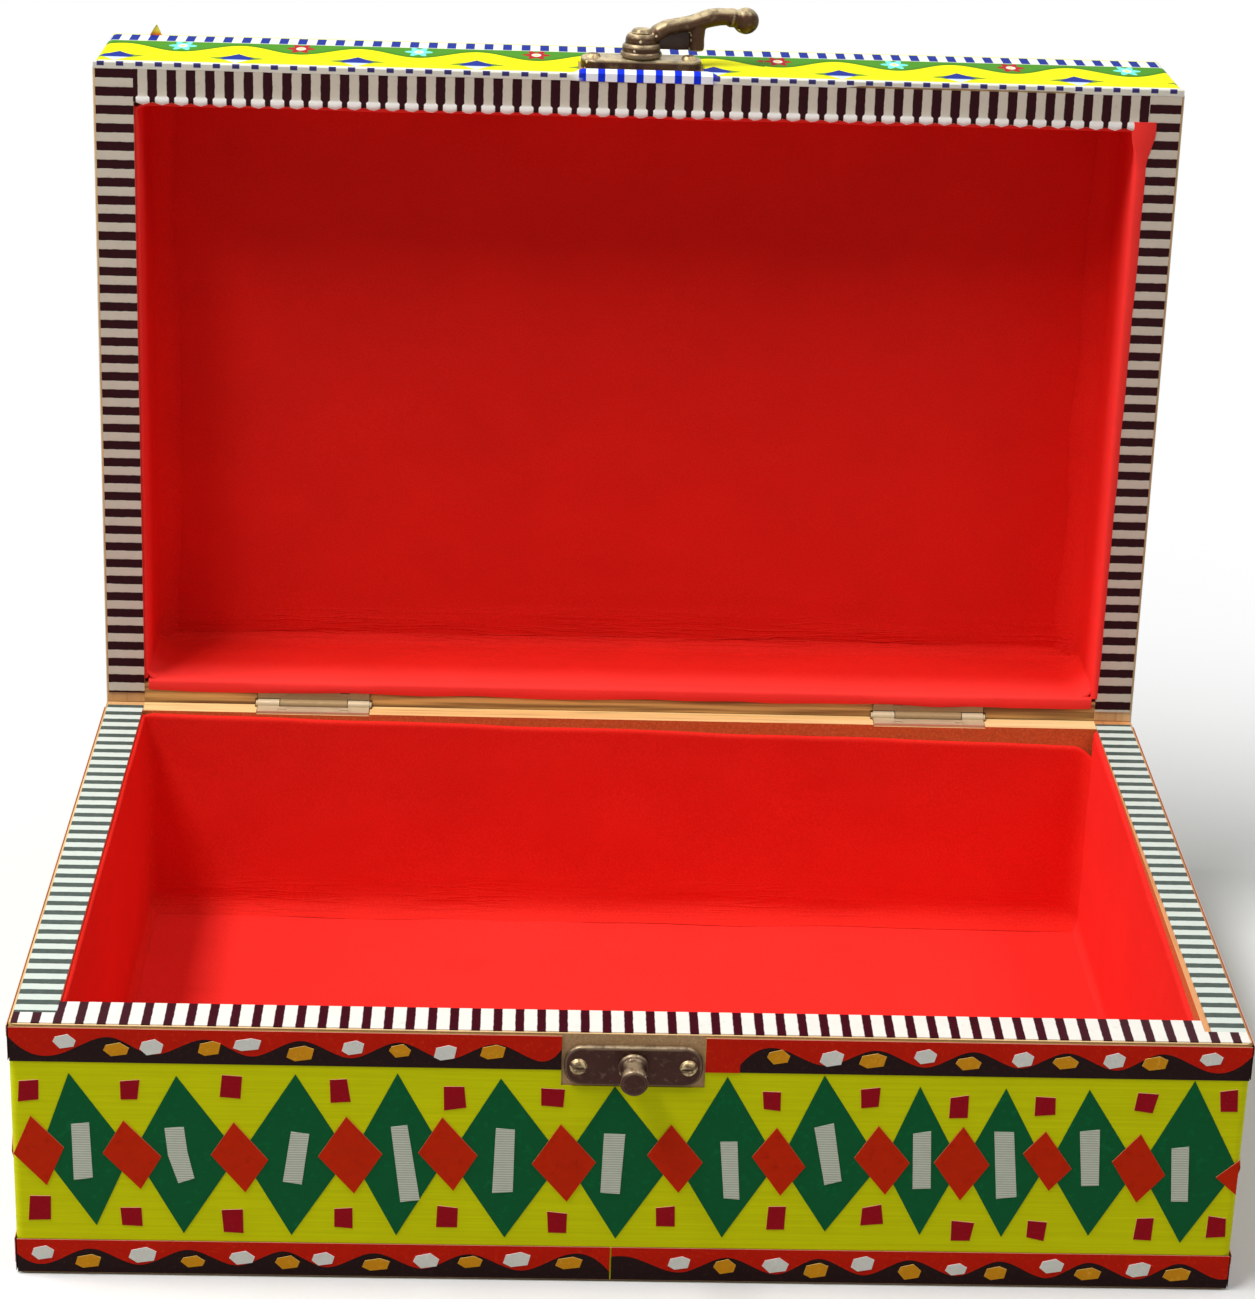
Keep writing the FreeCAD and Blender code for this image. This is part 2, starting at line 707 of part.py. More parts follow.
def hinge_leaf(name, x, sign):
    """A leaf with the outer knuckles (base, sign -1) or the middle one (lid, sign 1)."""
    half = "hinge_length / 2"
    inner = f"({half} - outer_knuckle)"
    if sign < 0:
        spans = [(f"-{half}", "outer_knuckle"), (inner, "outer_knuckle")]
    else:
        spans = [(f"-{inner} + knuckle_gap", f"2 * ({inner} - knuckle_gap)")]
    low = "pin_z - leaf_gap / 2 - leaf_thickness" if sign < 0 else "pin_z + leaf_gap / 2"
    clear = "(knuckle_radius + knuckle_gap)"
    plate = block(
        f"{name}_plate",
        (f"{x} - {half}", "pin_y - leaf_width", low),
        ("hinge_length", f"leaf_width - {clear}", "leaf_thickness"),
    )
    pieces = [plate]
    bores = []
    for start, length in spans:
        begin = f"{x} + {start}"
        pieces.append(block(
            f"{name}_tab",
            (begin, f"pin_y - {clear}", low),
            (length, clear, "leaf_thickness"),
        ))
        axis = (begin, "pin_y", "pin_z")
        pieces.append(rod(f"{name}_knuckle", "knuckle_radius", length, axis, "X"))
        bores.append(rod(f"{name}_bore", "pin_radius + pin_clearance", length, axis, "X"))
    return cut(name, joined(f"{name}_whole", *pieces), *bores)


def countersunk_profile(grow):
    """Radius and height of a countersunk head, its top at 0."""
    head = f"leaf_screw_head + {grow}"
    shank = f"leaf_screw_shank + {grow}"
    return [("0", "0"), (head, "0"), (shank, f"-({head} - ({shank}))")], shank


def make_hinges():
    points, shank = countersunk_profile("0")
    tip = [(shank, "leaf_screw_shank - leaf_screw_length"), ("0", "-leaf_screw_length")]
    plain_screw = turned("leaf_screw_blank", points + tip)
    slot = block(
        "leaf_screw_slot",
        ("-leaf_screw_head", "-slot_width / 2", "-slot_depth"),
        ("2 * leaf_screw_head", "slot_width", "slot_depth"),
    )
    screw = cut("leaf_screw", plain_screw, slot)
    points, shank = countersunk_profile("drill_clearance")
    seat = turned("leaf_screw_seat", points + [(shank, "-leaf_screw_length"), ("0", "-leaf_screw_length")])
    doc.recompute()
    for sign, part, place in ((-1, "base", AS_DRAWN), (1, "lid", LID_OPEN)):
        spots = leaf_screw_places(sign)
        seats = shape_item(f"{part}_leaf_seats", copies(seat, spots))
        for side, x in HINGES.items():
            name = f"{side}_hinge_{part}_leaf"
            node(cut(name, hinge_leaf(f"{name}_blank", x, sign), seats), name, place)
        node(shape_item(f"hinge_{part}_screws", copies(screw, spots)), f"hinge_{part}_screws", place)
    half = "hinge_length / 2"
    head = f"{half} + pin_head_height"
    pin = turned("hinge_pin", [
        ("0", f"-({head})"), ("pin_head_radius", f"-({head})"), ("pin_head_radius", f"-({half})"),
        ("pin_radius", f"-({half})"), ("pin_radius", half), ("pin_head_radius", half),
        ("pin_head_radius", head), ("0", head),
    ])
    middle = value("hinge_spacing") / 2
    starts = [(x, value("pin_y"), value("pin_z")) for x in (-middle, middle)]
    node(shape_item("hinge_pins", copies(pin, pin_places(starts, (1, 0, 0)))), "hinge_pins")


def copies(item, spots):
    """Copies of an object's solid at each placement."""
    solids = []
    for spot in spots:
        solid = item.Shape.copy()
        solid.Placement = spot.multiply(solid.Placement)
        solids.append(solid)
    return solids


# Latch: a catch plate with a post on the base, and a hook on a riveted plate on the lid


def on_front(z, angle=0):
    """Local X along the front, local Z out of it, turned by an angle from level."""
    facing = turn((0, -1, 0), angle).multiply(turn((1, 0, 0), 90))
    return FreeCAD.Placement(vector(0, -value("half_depth"), z), facing)


def latch_plate(name, z, thickness, *holes):
    """A plate with rounded corners and a bevelled face."""
    plan = rectangle(("-plate_length / 2", "-plate_width / 2"), ("plate_length / 2", "plate_width / 2"))
    body = prism(f"{name}_body", "XY_Plane", plan, thickness)
    dress(body, "Fillet", "Radius", "plate_corner", upright)
    dress(body, "Chamfer", "Size", "plate_bevel", at_height(value(thickness)))
    plate = cut(name, body, *holes)
    plate.Placement = on_front(value(z))
    return plate


def plate_hole(name, radius, x):
    return rod(name, f"{radius} + drill_clearance", "hook_plate_thickness", (x, "0", "0"))


def plate_screw(name, plate):
    """A round-headed screw through a plate of that thickness."""
    bar = [
        ("0", "-plate_screw_length"), ("plate_screw_shank", "plate_screw_shank - plate_screw_length"),
        ("plate_screw_shank", plate), ("plate_screw_head", plate),
        ("plate_screw_head * 0.8", f"{plate} + plate_screw_dome * 0.7"),
        ("0", f"{plate} + plate_screw_dome"),
    ]
    slot = block(
        f"{name}_slot",
        ("-plate_screw_head", "-slot_width / 2", f"{plate} + plate_screw_dome - slot_depth"),
        ("2 * plate_screw_head", "slot_width", "slot_depth"),
    )
    return cut(name, turned(f"{name}_blank", bar), slot)


def make_latch():
    catch_screw = plate_screw("catch_screw", "plate_thickness")
    hook_screw = plate_screw("hook_screw", "hook_plate_thickness")
    ends = [
        plate_hole("plate_end_hole", "plate_screw_shank", x)
        for x in mirrored_pair("plate_screw_spacing / 2")
    ]
    middle = plate_hole("rivet_hole", "rivet_radius", "0")
    post = turned("catch_post", [
        ("0", "plate_thickness"), ("post_foot_radius", "plate_thickness"),
        ("post_foot_radius", "plate_thickness + post_foot_height * 0.6"),
        ("post_neck_radius", "plate_thickness + post_foot_height"),
        ("post_neck_radius", "plate_thickness + post_length - post_head_height"),
        ("post_head_radius", "plate_thickness + post_length - post_head_height * 0.8"),
        ("post_head_radius", "plate_thickness + post_length - post_head_height * 0.2"),
        ("post_neck_radius", "plate_thickness + post_length"),
        ("0", "plate_thickness + post_length"),
    ])
    doc.recompute()
    node(latch_plate("catch_plate", "catch_z", "plate_thickness", *ends), "catch_plate")
    node(post, "catch_post", on_front(value("catch_z")))
    spots = plate_screw_places(value("catch_z"))
    node(shape_item("catch_screws", copies(catch_screw, spots)), "catch_screws")
    node(latch_plate("hook_plate", "hook_z", "hook_plate_thickness", *ends, middle), "hook_plate", LID_OPEN)
    spots = plate_screw_places(value("hook_z"))
    node(shape_item("hook_plate_screws", copies(hook_screw, spots)), "hook_plate_screws", LID_OPEN)
    head = "eye_top + hook_lift"
    rivet = turned("hook_rivet", [
        ("0", "0"), ("rivet_radius", "0"), ("rivet_radius", head), ("rivet_head_radius", head),
        ("rivet_head_radius * 0.7", f"{head} + rivet_head_height * 0.8"),
        ("0", f"{head} + rivet_head_height"),
    ])
    node(rivet, "hook_rivet", LID_OPEN.multiply(on_front(value("hook_z"))))


def make_hook():
    """The hook lies along local X, with its pivot on local Z; its mouth takes the post."""
    rivet_room = "rivet_head_radius + hook_arm_thickness / 4"
    arm_top = "mouth_roof + hook_arm_thickness"
    arch, shoulder = "mouth_roof", "hook_eye_radius + hook_arm_thickness / 2"
    profile = [
        ("0", "eye_bottom + hook_eye_height / 2"),
        ("hook_eye_radius", "eye_bottom + hook_eye_height / 2"),
        (shoulder, arch), ("leg_start", arch),
        ("leg_start", "hook_leg_foot"), ("leg_end", "hook_leg_foot"),
        ("leg_end", "mouth_roof"), ("ball_reach", "mouth_roof"), ("ball_reach", arm_top),
        ("leg_end", arm_top), (shoulder, f"{arm_top} - hook_arm_thickness / 4"),
        (rivet_room, "eye_top"), ("0", "eye_top"),
    ]
    arm = prism("hook_arm", "XZ_Plane", profile, "hook_arm_width", middle=True)
    roof = value("mouth_roof") + value("hook_arm_round")
    end = value("ball_reach") - value("hook_arm_round")
    over = lambda edge: min(v.X for v in edge.Vertexes) < end and max(v.Z for v in edge.Vertexes) > roof
    along = lambda edge: abs(edge.tangentAt(edge.FirstParameter).y) < 0.01
    dress(arm, "Fillet", "Radius", "hook_arm_round", lambda edge: along(edge) and over(edge))
    eye = rod("hook_eye", "hook_eye_radius", "hook_eye_height", ("0", "0", "eye_bottom"))
    ball = doc.addObject("Part::Sphere", "hook_ball")
    bind(ball, "Radius", "hook_ball_radius")
    bind(ball, ".Placement.Base.x", "ball_reach")
    bind(ball, ".Placement.Base.z", "mouth_roof + hook_arm_thickness / 2 + hook_ball_lift")
    whole = joined("hook_whole", arm, eye, ball)
    bore = rod("hook_bore", "rivet_radius + rivet_clearance", "hook_eye_height", ("0", "0", "eye_bottom"))
    rest = on_front(value("hook_z"), value("hook_rest_angle"))
    node(cut("latch_hook", whole, bore), "latch_hook", LID_OPEN.multiply(rest))


# Vinyl ornament, cut by hand and laid on the foil in layers


def wobble(*keys):
    """A fixed unevenness from -1 to 1, as of work done by hand."""
    mixed = math.sin(sum(key * (12.9898 + 65.2432 * place) for place, key in enumerate(keys, 1))) * 43758.5453
    return 2 * (mixed - math.floor(mixed)) - 1


def chip(corners, layer, place):
    """A flat piece of vinyl on a face, whose local Z points out of it."""
    thickness = value("sticker_thickness")
    ring = [vector(u, v, layer * thickness) for u, v in corners]
    piece = Part.Face(Part.makePolygon(ring + ring[:1])).extrude(vector(0, 0, thickness))
    piece.Placement = place
    return piece


def even_turns(start, end):
    """Crests and dips of a wave strip that has no measured ones."""
    count = max(2, math.ceil((end - start) / value("wave_length") * 2))
    step = (end - start) / count
    return [start + step * (n + 0.15 * wobble(n, start + end)) for n in range(count + 1)]


def wave_edge(turns, start, end, middle):
    """Points of a wave between two ends, half-way ones included so that it swings evenly."""
    points = []
    for n, u in enumerate(turns):
        rise = value("wave_height") * (1 - 0.15 * abs(wobble(n, u)))
        points.append((u, middle + (rise if n % 2 == 0 else -rise)))
    ends = []
    for u in (start, end):
        after = next((n for n, point in enumerate(points) if point[0] >= u), len(points) - 1)
        before = max(after - 1, 0)
        span = points[after][0] - points[before][0]
        share = min(max((u - points[before][0]) / span, 0), 1) if span else 0
        swing = (1 - math.cos(math.pi * share)) / 2
        ends.append((u, points[before][1] + (points[after][1] - points[before][1]) * swing))
    inside = [point for point in points if start + 1 < point[0] < end - 1]
    return [ends[0], *inside, ends[1]]


def wave_strip(points, top, layer, place):
    """A strip of vinyl whose lower edge is a wave."""
    height = layer * value("sticker_thickness")
    curve = Part.BSplineCurve()
    curve.interpolate([vector(u, v, height) for u, v in points])
    first = vector(points[0][0], points[0][1], height)
    last = vector(points[-1][0], points[-1][1], height)
    above = [vector(last.x, top, height), vector(first.x, top, height)]
    edges = [
        curve.toShape(), Part.makeLine(last, above[0]),
        Part.makeLine(above[0], above[1]), Part.makeLine(above[1], first),
    ]
    strip = Part.Face(Part.Wire(edges)).extrude(vector(0, 0, value("sticker_thickness")))
    strip.Placement = place
    return strip


def pebble(u, v, key):
    """The corners of an uneven little stone shape."""
    half_u = value("pebble_width") / 2 * (1 + 0.15 * wobble(key, 1))
    half_v = value("pebble_height") / 2 * (1 + 0.15 * wobble(key, 2))
    lean = 0.3 * wobble(key, 3)
    return [
        (u - half_u, v - half_v * (0.3 + lean)), (u - half_u * 0.4, v - half_v),
        (u + half_u * 0.8, v - half_v * 0.7), (u + half_u, v + half_v * (0.4 + lean)),
        (u + half_u * 0.3, v + half_v), (u - half_u * 0.8, v + half_v * 0.6),
    ]


def oblong(u, v, width, height, lean):
    """A rectangle that leans by an angle in degrees."""
    cosine = math.cos(math.radians(lean))
    sine = math.sin(math.radians(lean))
    corners = []
    for x, y in ((-1, -1), (1, -1), (1, 1), (-1, 1)):
        across = x * width / 2
        along = y * height / 2
        corners.append((u + across * cosine - along * sine, v + across * sine + along * cosine))
    return corners


def bar(u, v, width, height, lean, bend=0):
    """A bar whose lower half leans more than its upper half by the bend."""
    corners = []
    for x, y, angle in (
        (-1, -1, lean + bend / 2), (1, -1, lean + bend / 2), (1, 0, lean), (1, 1, lean - bend / 2),
        (-1, 1, lean - bend / 2), (-1, 0, lean),
    ):
        if y or bend:
            cosine = math.cos(math.radians(angle))
            sine = math.sin(math.radians(angle))
            across = x * width / 2
            along = y * height / 2
            corners.append((u + across * cosine - along * sine, v + across * sine + along * cosine))
    return corners


def by_hand(corners, key, slip):
    """The same corners, each a little off, as when they are cut by hand."""
    return [
        (u + slip * wobble(key, n, 1), v + slip * wobble(key, n, 2)) for n, (u, v) in enumerate(corners, 1)
    ]


def diamond(u, v, half_u, half_v, tips=0, sides=0):
    """The corners of a diamond whose tips and sides are shifted a little."""
    return [(u - half_u, v - sides), (u - tips, v - half_v), (u + half_u, v + sides), (u + tips, v + half_v)]


class Ornament:
    """The vinyl pieces of one body, gathered by kind."""

    def __init__(self, dip_kind, crest_kind):
        self.pieces = {}
        self.dip_kind = dip_kind
        self.crest_kind = crest_kind

    def add(self, kind, corners, layer, place):
        self.pieces.setdefault(kind, []).append(chip(corners, layer, place))

    def border(self, place, low, start, end, turns=()):
        """A border strip: black below, a red wave above, pebbles in its dips and crests."""
        top = low + value("border_width")
        middle = low + value("border_width") / 2
        self.add("border_strips", [(start, low), (end, low), (end, top), (start, top)], 0, place)
        turns = turns or even_turns(start, end)
        strip = wave_strip(wave_edge(turns, start, end, middle), top, 1, place)
        self.pieces.setdefault("wave_strips", []).append(strip)
        inset = value("pebble_width") * 0.75
        for n, u in enumerate(turns):
            if not start + inset < u < end - inset:
                continue
            key = n + start + low
            crest = n % 2 == 0
            centre = middle + value("border_width") * (-0.06 if crest else 0.05)
            corners = pebble(u + wobble(key, 4), centre + 0.7 * wobble(key, 5), key)
            self.add(self.crest_kind if crest else self.dip_kind, corners, 2, place)

    def front_band(self, place, low, high):
        """The diamonds, bars and squares of the front, as they were laid."""
        scale = value("box_width") / FRONT_SPAN
        rise = (high - low) / FRONT_BAND
        middle = (low + high) / 2
        gap = value("diamond_gap") / 2
        edges = [u * scale for u in FRONT_EDGES]
        for n, (tip, foot) in enumerate(zip(FRONT_TIPS, FRONT_FEET)):
            top = middle + tip[1] * rise
            if edges[n] < value("half_width") < edges[n + 1]:
                top = min(top, value("window_low"))
            corners = [
                (edges[n] + gap, middle), (foot[0] * scale, middle + foot[1] * rise),
                (edges[n + 1] - gap, middle), (tip[0] * scale, top),
            ]
            self.add("green_diamonds", corners, 0, place)
        for n, (u, v, height, lean) in enumerate(FRONT_BARS):
            shape = bar(u * scale, middle + v, value("bar_width"), height, lean, FRONT_BENDS.get(n, 0))
            self.add("silver_bars", by_hand(shape, n, value("cutting_slip")), 1, place)
        for u, (v, half_u, half_v, tips, sides) in zip(edges[:-1], FRONT_ORANGES):
            corners = diamond(u, middle + v, half_u, half_v, tips, sides)
            self.add("orange_diamonds", corners, 1, place)
        v, half_u, half_v = FRONT_ORANGES[-1][:3]
        end = edges[-1]
        half = [(end - half_u, middle + v), (end, middle + v - half_v), (end, middle + v + half_v)]
        self.add("orange_diamonds", half, 1, place)
        for n, (u, v) in enumerate(FRONT_SQUARES):
            self.square(place, u * scale, middle + v * rise, n)

    def square(self, place, u, v, key):
        width = value("square_width") * (1 + 0.08 * wobble(key, 3))
        height = value("square_height") * (1 + 0.1 * wobble(key, 4))
        corners = oblong(u, v, width, height, 6 * wobble(key, 5))
        self.add("maroon_squares", by_hand(corners, key, value("cutting_slip")), 0, place)

    def even_band(self, place, edges, low, high):
        """A band of the same pieces where the pattern goes on evenly."""
        middle = (low + high) / 2
        reach = value("diamond_height") / 2
        gap = value("diamond_gap") / 2
        for n, (left, right) in enumerate(zip(edges, edges[1:])):
            key = n + low + edges[0] + 10 * edges[-1]
            centre = (left + right) / 2 + wobble(key, 1)
            corners = [
                (left + gap, middle), (centre + 0.8 * wobble(key, 5), middle - reach + abs(wobble(key, 3))),
                (right - gap, middle), (centre, middle + reach - abs(wobble(key, 2))),
            ]
            self.add("green_diamonds", corners, 0, place)
            height = value("bar_height") * (1 + 0.12 * wobble(key, 8))
            spot = (centre + 0.8 * wobble(key, 9), middle + wobble(key, 10))
            shape = bar(*spot, value("bar_width"), height, 7 * wobble(key, 11))
            self.add("silver_bars", by_hand(shape, key, value("cutting_slip")), 1, place)
        for n, u in enumerate(edges):
            key = n + u + low
            half_u = value("orange_width") / 2 * (1 - 0.08 * abs(wobble(key, 2)))
            half_v = value("orange_height") / 2 * (1 + 0.06 * wobble(key, 3))
            centre = middle + 0.7 * wobble(key, 1)
            corners = diamond(u, centre, half_u, half_v, wobble(key, 4), 0.6 * wobble(key, 6))
            self.add("orange_diamonds", corners, 1, place)
            for level in (low + value("square_margin"), high - value("square_margin")):
                spot = (u + 0.8 * wobble(key, level), level + 0.8 * wobble(key, level, 2))
                self.square(place, *spot, key + level)

    def make_nodes(self, prefix, place):
        for kind, solids in self.pieces.items():
            node(shape_item(f"{prefix}_{kind}", solids), f"{prefix}_{kind}", place)


def cell_edges(shares, start, end):
    """Boundaries of cells whose widths follow the shares between start and end."""
    scale = (end - start) / sum(shares)
    edges = [start]
    for share in shares:
        edges.append(edges[-1] + share * scale)
    return edges


def even_cells(length, margin):
    """Cells of about the diamond pitch, a little uneven."""
    count = max(1, round((length - 2 * margin) / value("diamond_pitch")))
    shares = [1 + 0.09 * wobble(n, length) for n in range(count)]
    return cell_edges(shares, margin, length - margin)


def make_front_ornament(ornament, place, low, high):
    """The front: two upper borders beside the catch, a plain red piece, and a seam below."""
    width = value("box_width")
    scale = width / FRONT_SPAN
    border = value("border_width")
    foot = value("foil_foot")
    left = width / 2 - value("window_half")
    right = width / 2 + value("window_half")
    plain_end = right + value("wave_plain")
    seam = LOWER_LEFT_WAVE[-1] * scale
    laid = {
        name: [u * scale for u in turns]
        for name, turns in (
            ("upper_left", UPPER_LEFT_WAVE), ("upper_right", UPPER_RIGHT_WAVE),
            ("lower_left", LOWER_LEFT_WAVE), ("lower_right", LOWER_RIGHT_WAVE),
        )
    }
    ornament.border(place, high, 0, left, laid["upper_left"])
    ornament.border(place, high, plain_end, width, [plain_end - border, plain_end, *laid["upper_right"]])
    plain = oblong((right + plain_end) / 2, high + border / 2, value("wave_plain"), border, 0)
    ornament.add("wave_strips", plain, 1, place)
    ornament.border(place, foot, 0, seam, laid["lower_left"])
    ornament.border(place, foot, seam + value("seam_gap"), width, laid["lower_right"])
    ornament.front_band(place, low, high)


def make_base_ornament():
    ornament = Ornament("silver_pebbles", "gold_pebbles")
    width = value("box_width")
    depth = value("box_depth")
    foot = value("foil_foot")
    low = foot + value("border_width")
    crest = value("base_height") - value("bare_edge") - value("border_width")
    end_margin = value("orange_width") / 2 + value("corner_radius") / 2
    back_end = value("tape_back_stop")
    for quarter in range(4):
        length = depth if quarter % 2 else width
        gap = width if quarter % 2 else depth
        spin = turn((0, 0, 1), 90 * quarter)
        corner = spin.multVec(vector(-length / 2, -gap / 2 - value("foil_thickness"), 0))
        place = FreeCAD.Placement(corner, spin.multiply(turn((1, 0, 0), 90)))
        if quarter == 0:
            make_front_ornament(ornament, place, low, crest)
            continue
        high = crest - (value("hinge_inset") * value("bevel_slope") if quarter == 2 else 0)
        start = back_end if quarter == 3 else 0
        end = length - (back_end if quarter == 1 else 0)
        ornament.border(place, foot, 0, length)
        ornament.border(place, high, start, end)
        ornament.even_band(place, even_cells(length, end_margin), low, high)
    ornament.make_nodes("base", AS_DRAWN)


def make_lid_ornament():
    """The top has the same border round it, and rows of diamonds inside."""
    ornament = Ornament("silver_pebbles", "silver_pebbles")
    border = value("border_width")
    margin = value("top_margin")
    height = value("lid_top") + value("foil_thickness")
    for quarter in range(4):
        along, across = ("half_depth", "half_width") if quarter % 2 else ("half_width", "half_depth")
        inset = margin + (border if quarter % 2 else 0)
        spin = turn((0, 0, 1), 90 * quarter)
        corner = spin.multVec(vector(inset - value(along), margin - value(across), height))
        ornament.border(FreeCAD.Placement(corner, spin), 0, 0, 2 * (value(along) - inset))
    field = margin + border
    width = value("box_width") - 2 * field
    depth = value("box_depth") - 2 * field
    rows = max(1, int(depth // (value("diamond_height") + value("square_height"))))
    pitch = depth / rows
    for row in range(rows):
        corner = vector(field - value("half_width"), field - value("half_depth") + pitch * row, height)
        edges = even_cells(width, value("orange_width") / 2)
        ornament.even_band(FreeCAD.Placement(corner, turn((0, 0, 1), 0)), edges, 0, pitch)
    ornament.make_nodes("lid", LID_OPEN)


def write_parts():
    """Checks every object, then writes one file for each sub-part."""
    doc.recompute()
    bad = [item.Name for item in doc.Objects if {"Invalid", "Error"} & set(item.State)]
    bad += [item.Label for item in nodes if item.Shape.isNull() or not item.Shape.isValid()]
    if bad:
        raise RuntimeError("failed objects: " + ", ".join(bad))
    os.makedirs("parts", exist_ok=True)
    for item in nodes:
        item.Shape.exportStep(os.path.join("parts", item.Label + ".step"))
    print(len(nodes), "sub-parts written")


base_bevel = make_base_carcass()
lid_bevel, lid_crown = make_lid_carcass()
make_linings()
rim_tapes("base", "base_height", AS_DRAWN)
rim_tapes("lid", "lid_z - tape_thickness", LID_OPEN)
make_foils(base_bevel, lid_bevel, lid_crown)
make_hinges()
make_latch()
make_hook()
make_base_ornament()
make_lid_ornament()
write_parts()
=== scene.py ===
import json
import math
from functools import partialmethod

import bmesh
import bpy
from mathutils import Matrix, Vector, noise


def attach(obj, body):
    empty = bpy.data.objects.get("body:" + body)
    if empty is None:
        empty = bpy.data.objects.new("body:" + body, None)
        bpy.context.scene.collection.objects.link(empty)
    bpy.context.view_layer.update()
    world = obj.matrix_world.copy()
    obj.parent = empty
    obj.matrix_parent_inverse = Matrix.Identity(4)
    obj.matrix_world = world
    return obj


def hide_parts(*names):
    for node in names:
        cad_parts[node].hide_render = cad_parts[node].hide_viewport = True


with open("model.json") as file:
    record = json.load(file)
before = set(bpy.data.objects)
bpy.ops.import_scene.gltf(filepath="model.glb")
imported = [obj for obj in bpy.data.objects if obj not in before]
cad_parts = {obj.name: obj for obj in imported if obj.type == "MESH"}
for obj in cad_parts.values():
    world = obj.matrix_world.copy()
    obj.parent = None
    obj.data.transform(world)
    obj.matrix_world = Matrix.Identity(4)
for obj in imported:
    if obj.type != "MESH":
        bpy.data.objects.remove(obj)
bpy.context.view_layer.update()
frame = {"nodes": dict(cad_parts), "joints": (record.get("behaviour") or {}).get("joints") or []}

# The looks of a lined wooden box with a hinged lid. Sizes here are millimetres, and each mesh
# is scaled to metres when it is made. Pieces of the lid are drawn with the lid shut and then opened.
# A tone is a colour's three values on a screen.

MM = 0.001
NODES = frame["nodes"]
HINGE = next(joint for joint in frame["joints"] if joint["name"] == "lid_hinge")
PIN = Vector(HINGE["pos_m"]) / MM
OPENING = math.radians(HINGE["range_deg"][1])
OPENED = Matrix.Translation(PIN) @ Matrix.Rotation(-OPENING, 4, "X") @ Matrix.Translation(-PIN)
SHUT = OPENED.inverted()
TO_METRES = Matrix.Scale(MM, 4)
X, Y, Z = Vector((1, 0, 0)), Vector((0, 1, 0)), Vector((0, 0, 1))
ALONG_X, ALONG_Y = 0, 1


def reach(node, lid=False):
    """The lowest and highest corner of a CAD node in millimetres, with the lid shut."""
    points = [vertex.co / MM for vertex in NODES[node].data.vertices]
    if lid:
        points = [SHUT @ point for point in points]
    axes = list(zip(*points))
    return Vector([min(axis) for axis in axes]), Vector([max(axis) for axis in axes])


FRONT_LOW, FRONT_HIGH = reach("base_front_panel")
HALF_WIDTH = FRONT_HIGH.x
HALF_DEPTH = -FRONT_LOW.y
WALL = 9
INNER_X = HALF_WIDTH - WALL
INNER_Y = HALF_DEPTH - WALL
RIM = FRONT_HIGH.z
LID_RIM = reach("lid_front_rail", lid=True)[0].z
FLOOR = reach("base_floor_lining")[1].z
CEILING = reach("lid_top_lining", lid=True)[0].z
LINED = 1.15  # from the wood to the face of a lining
TAPE = 0.25  # thickness of the striped tape
TAPE_INSET = 0.4  # bare wood between a striped tape and the box's edge
RIGHT_TAPE = INNER_X + 1.35  # inner edge of the lid's right tape at the front
LIP_PITCH, LIP_CENTRE = 4.38, 0.06  # stripes of the lid's front tape
DASH_PITCH, DASH_SHIFT = 4.39, 2.6  # dashes of the printed tape
PLATE_MIDDLE = 1  # where the printed tape stands up under the hook's plate


def colour(tone):
    """The linear colour of a tone."""
    shares = [value / 255 for value in tone]
    linear = [share / 12.92 if share <= 0.04045 else ((share + 0.055) / 1.055) ** 2.4 for share in shares]
    return (*linear, 1)


# Looks: small helpers that add nodes and hand back their outputs


class Nodes:
    """The nodes of one material or shared effect."""

    def __init__(self, tree):
        self.tree = tree

    def add(self, kind, sockets=None, **settings):
        node = self.tree.nodes.new(kind)
        for name, setting in settings.items():
            setattr(node, name, setting)
        for name, given in (sockets or {}).items():
            self.feed(node.inputs[name], given)
        return node

    def feed(self, socket, given):
        """Links or sets a socket; a colour may be given by its tone."""
        if isinstance(given, bpy.types.NodeSocket):
            self.tree.links.new(given, socket)
        elif socket.type == "RGBA" and len(given) == 3:
            socket.default_value = colour(given)
        else:
            socket.default_value = given

    def math(self, operation, *values):
        return self.add("ShaderNodeMath", dict(enumerate(values)), operation=operation).outputs[0]

    plus = partialmethod(math, "ADD")
    minus = partialmethod(math, "SUBTRACT")
    times = partialmethod(math, "MULTIPLY")
    over = partialmethod(math, "DIVIDE")
    larger = partialmethod(math, "MAXIMUM")
    above = partialmethod(math, "GREATER_THAN")
    size = partialmethod(math, "ABSOLUTE")

    def apart(self, first, second):
        return self.size(self.minus(first, second))

    def far(self, across, upward):
        """The distance from a point in a plane."""
        return self.math("SQRT", self.plus(self.math("POWER", across, 2), self.math("POWER", upward, 2)))

    def beat(self, along, pitch):
        """Goes from 0 to 0.5 and back over each pitch."""
        return self.math("PINGPONG", self.over(along, pitch), 0.5)

    def vector(self, operation, first, second):
        node = self.add("ShaderNodeVectorMath", {0: first, 1: second}, operation=operation)
        return node.outputs["Value" if operation == "DOT_PRODUCT" else "Vector"]

    def axes(self, vector):
        return self.add("ShaderNodeSeparateXYZ", {0: vector}).outputs

    def span(self, value, low, high, start=0, end=1):
        """A smooth step from start to end while the value goes from low to high."""
        sockets = dict(enumerate((value, low, high, start, end)))
        return self.add("ShaderNodeMapRange", sockets, interpolation_type="SMOOTHSTEP").outputs["Result"]

    def mix(self, share, first, second):
        return self.add("ShaderNodeMix", {0: share, 6: first, 7: second}, data_type="RGBA").outputs[2]

    def noise(self, vector, scale, detail=2, rough=0.5):
        sockets = {"Vector": vector, "Scale": scale, "Detail": detail, "Roughness": rough}
        return self.add("ShaderNodeTexNoise", sockets).outputs[0]


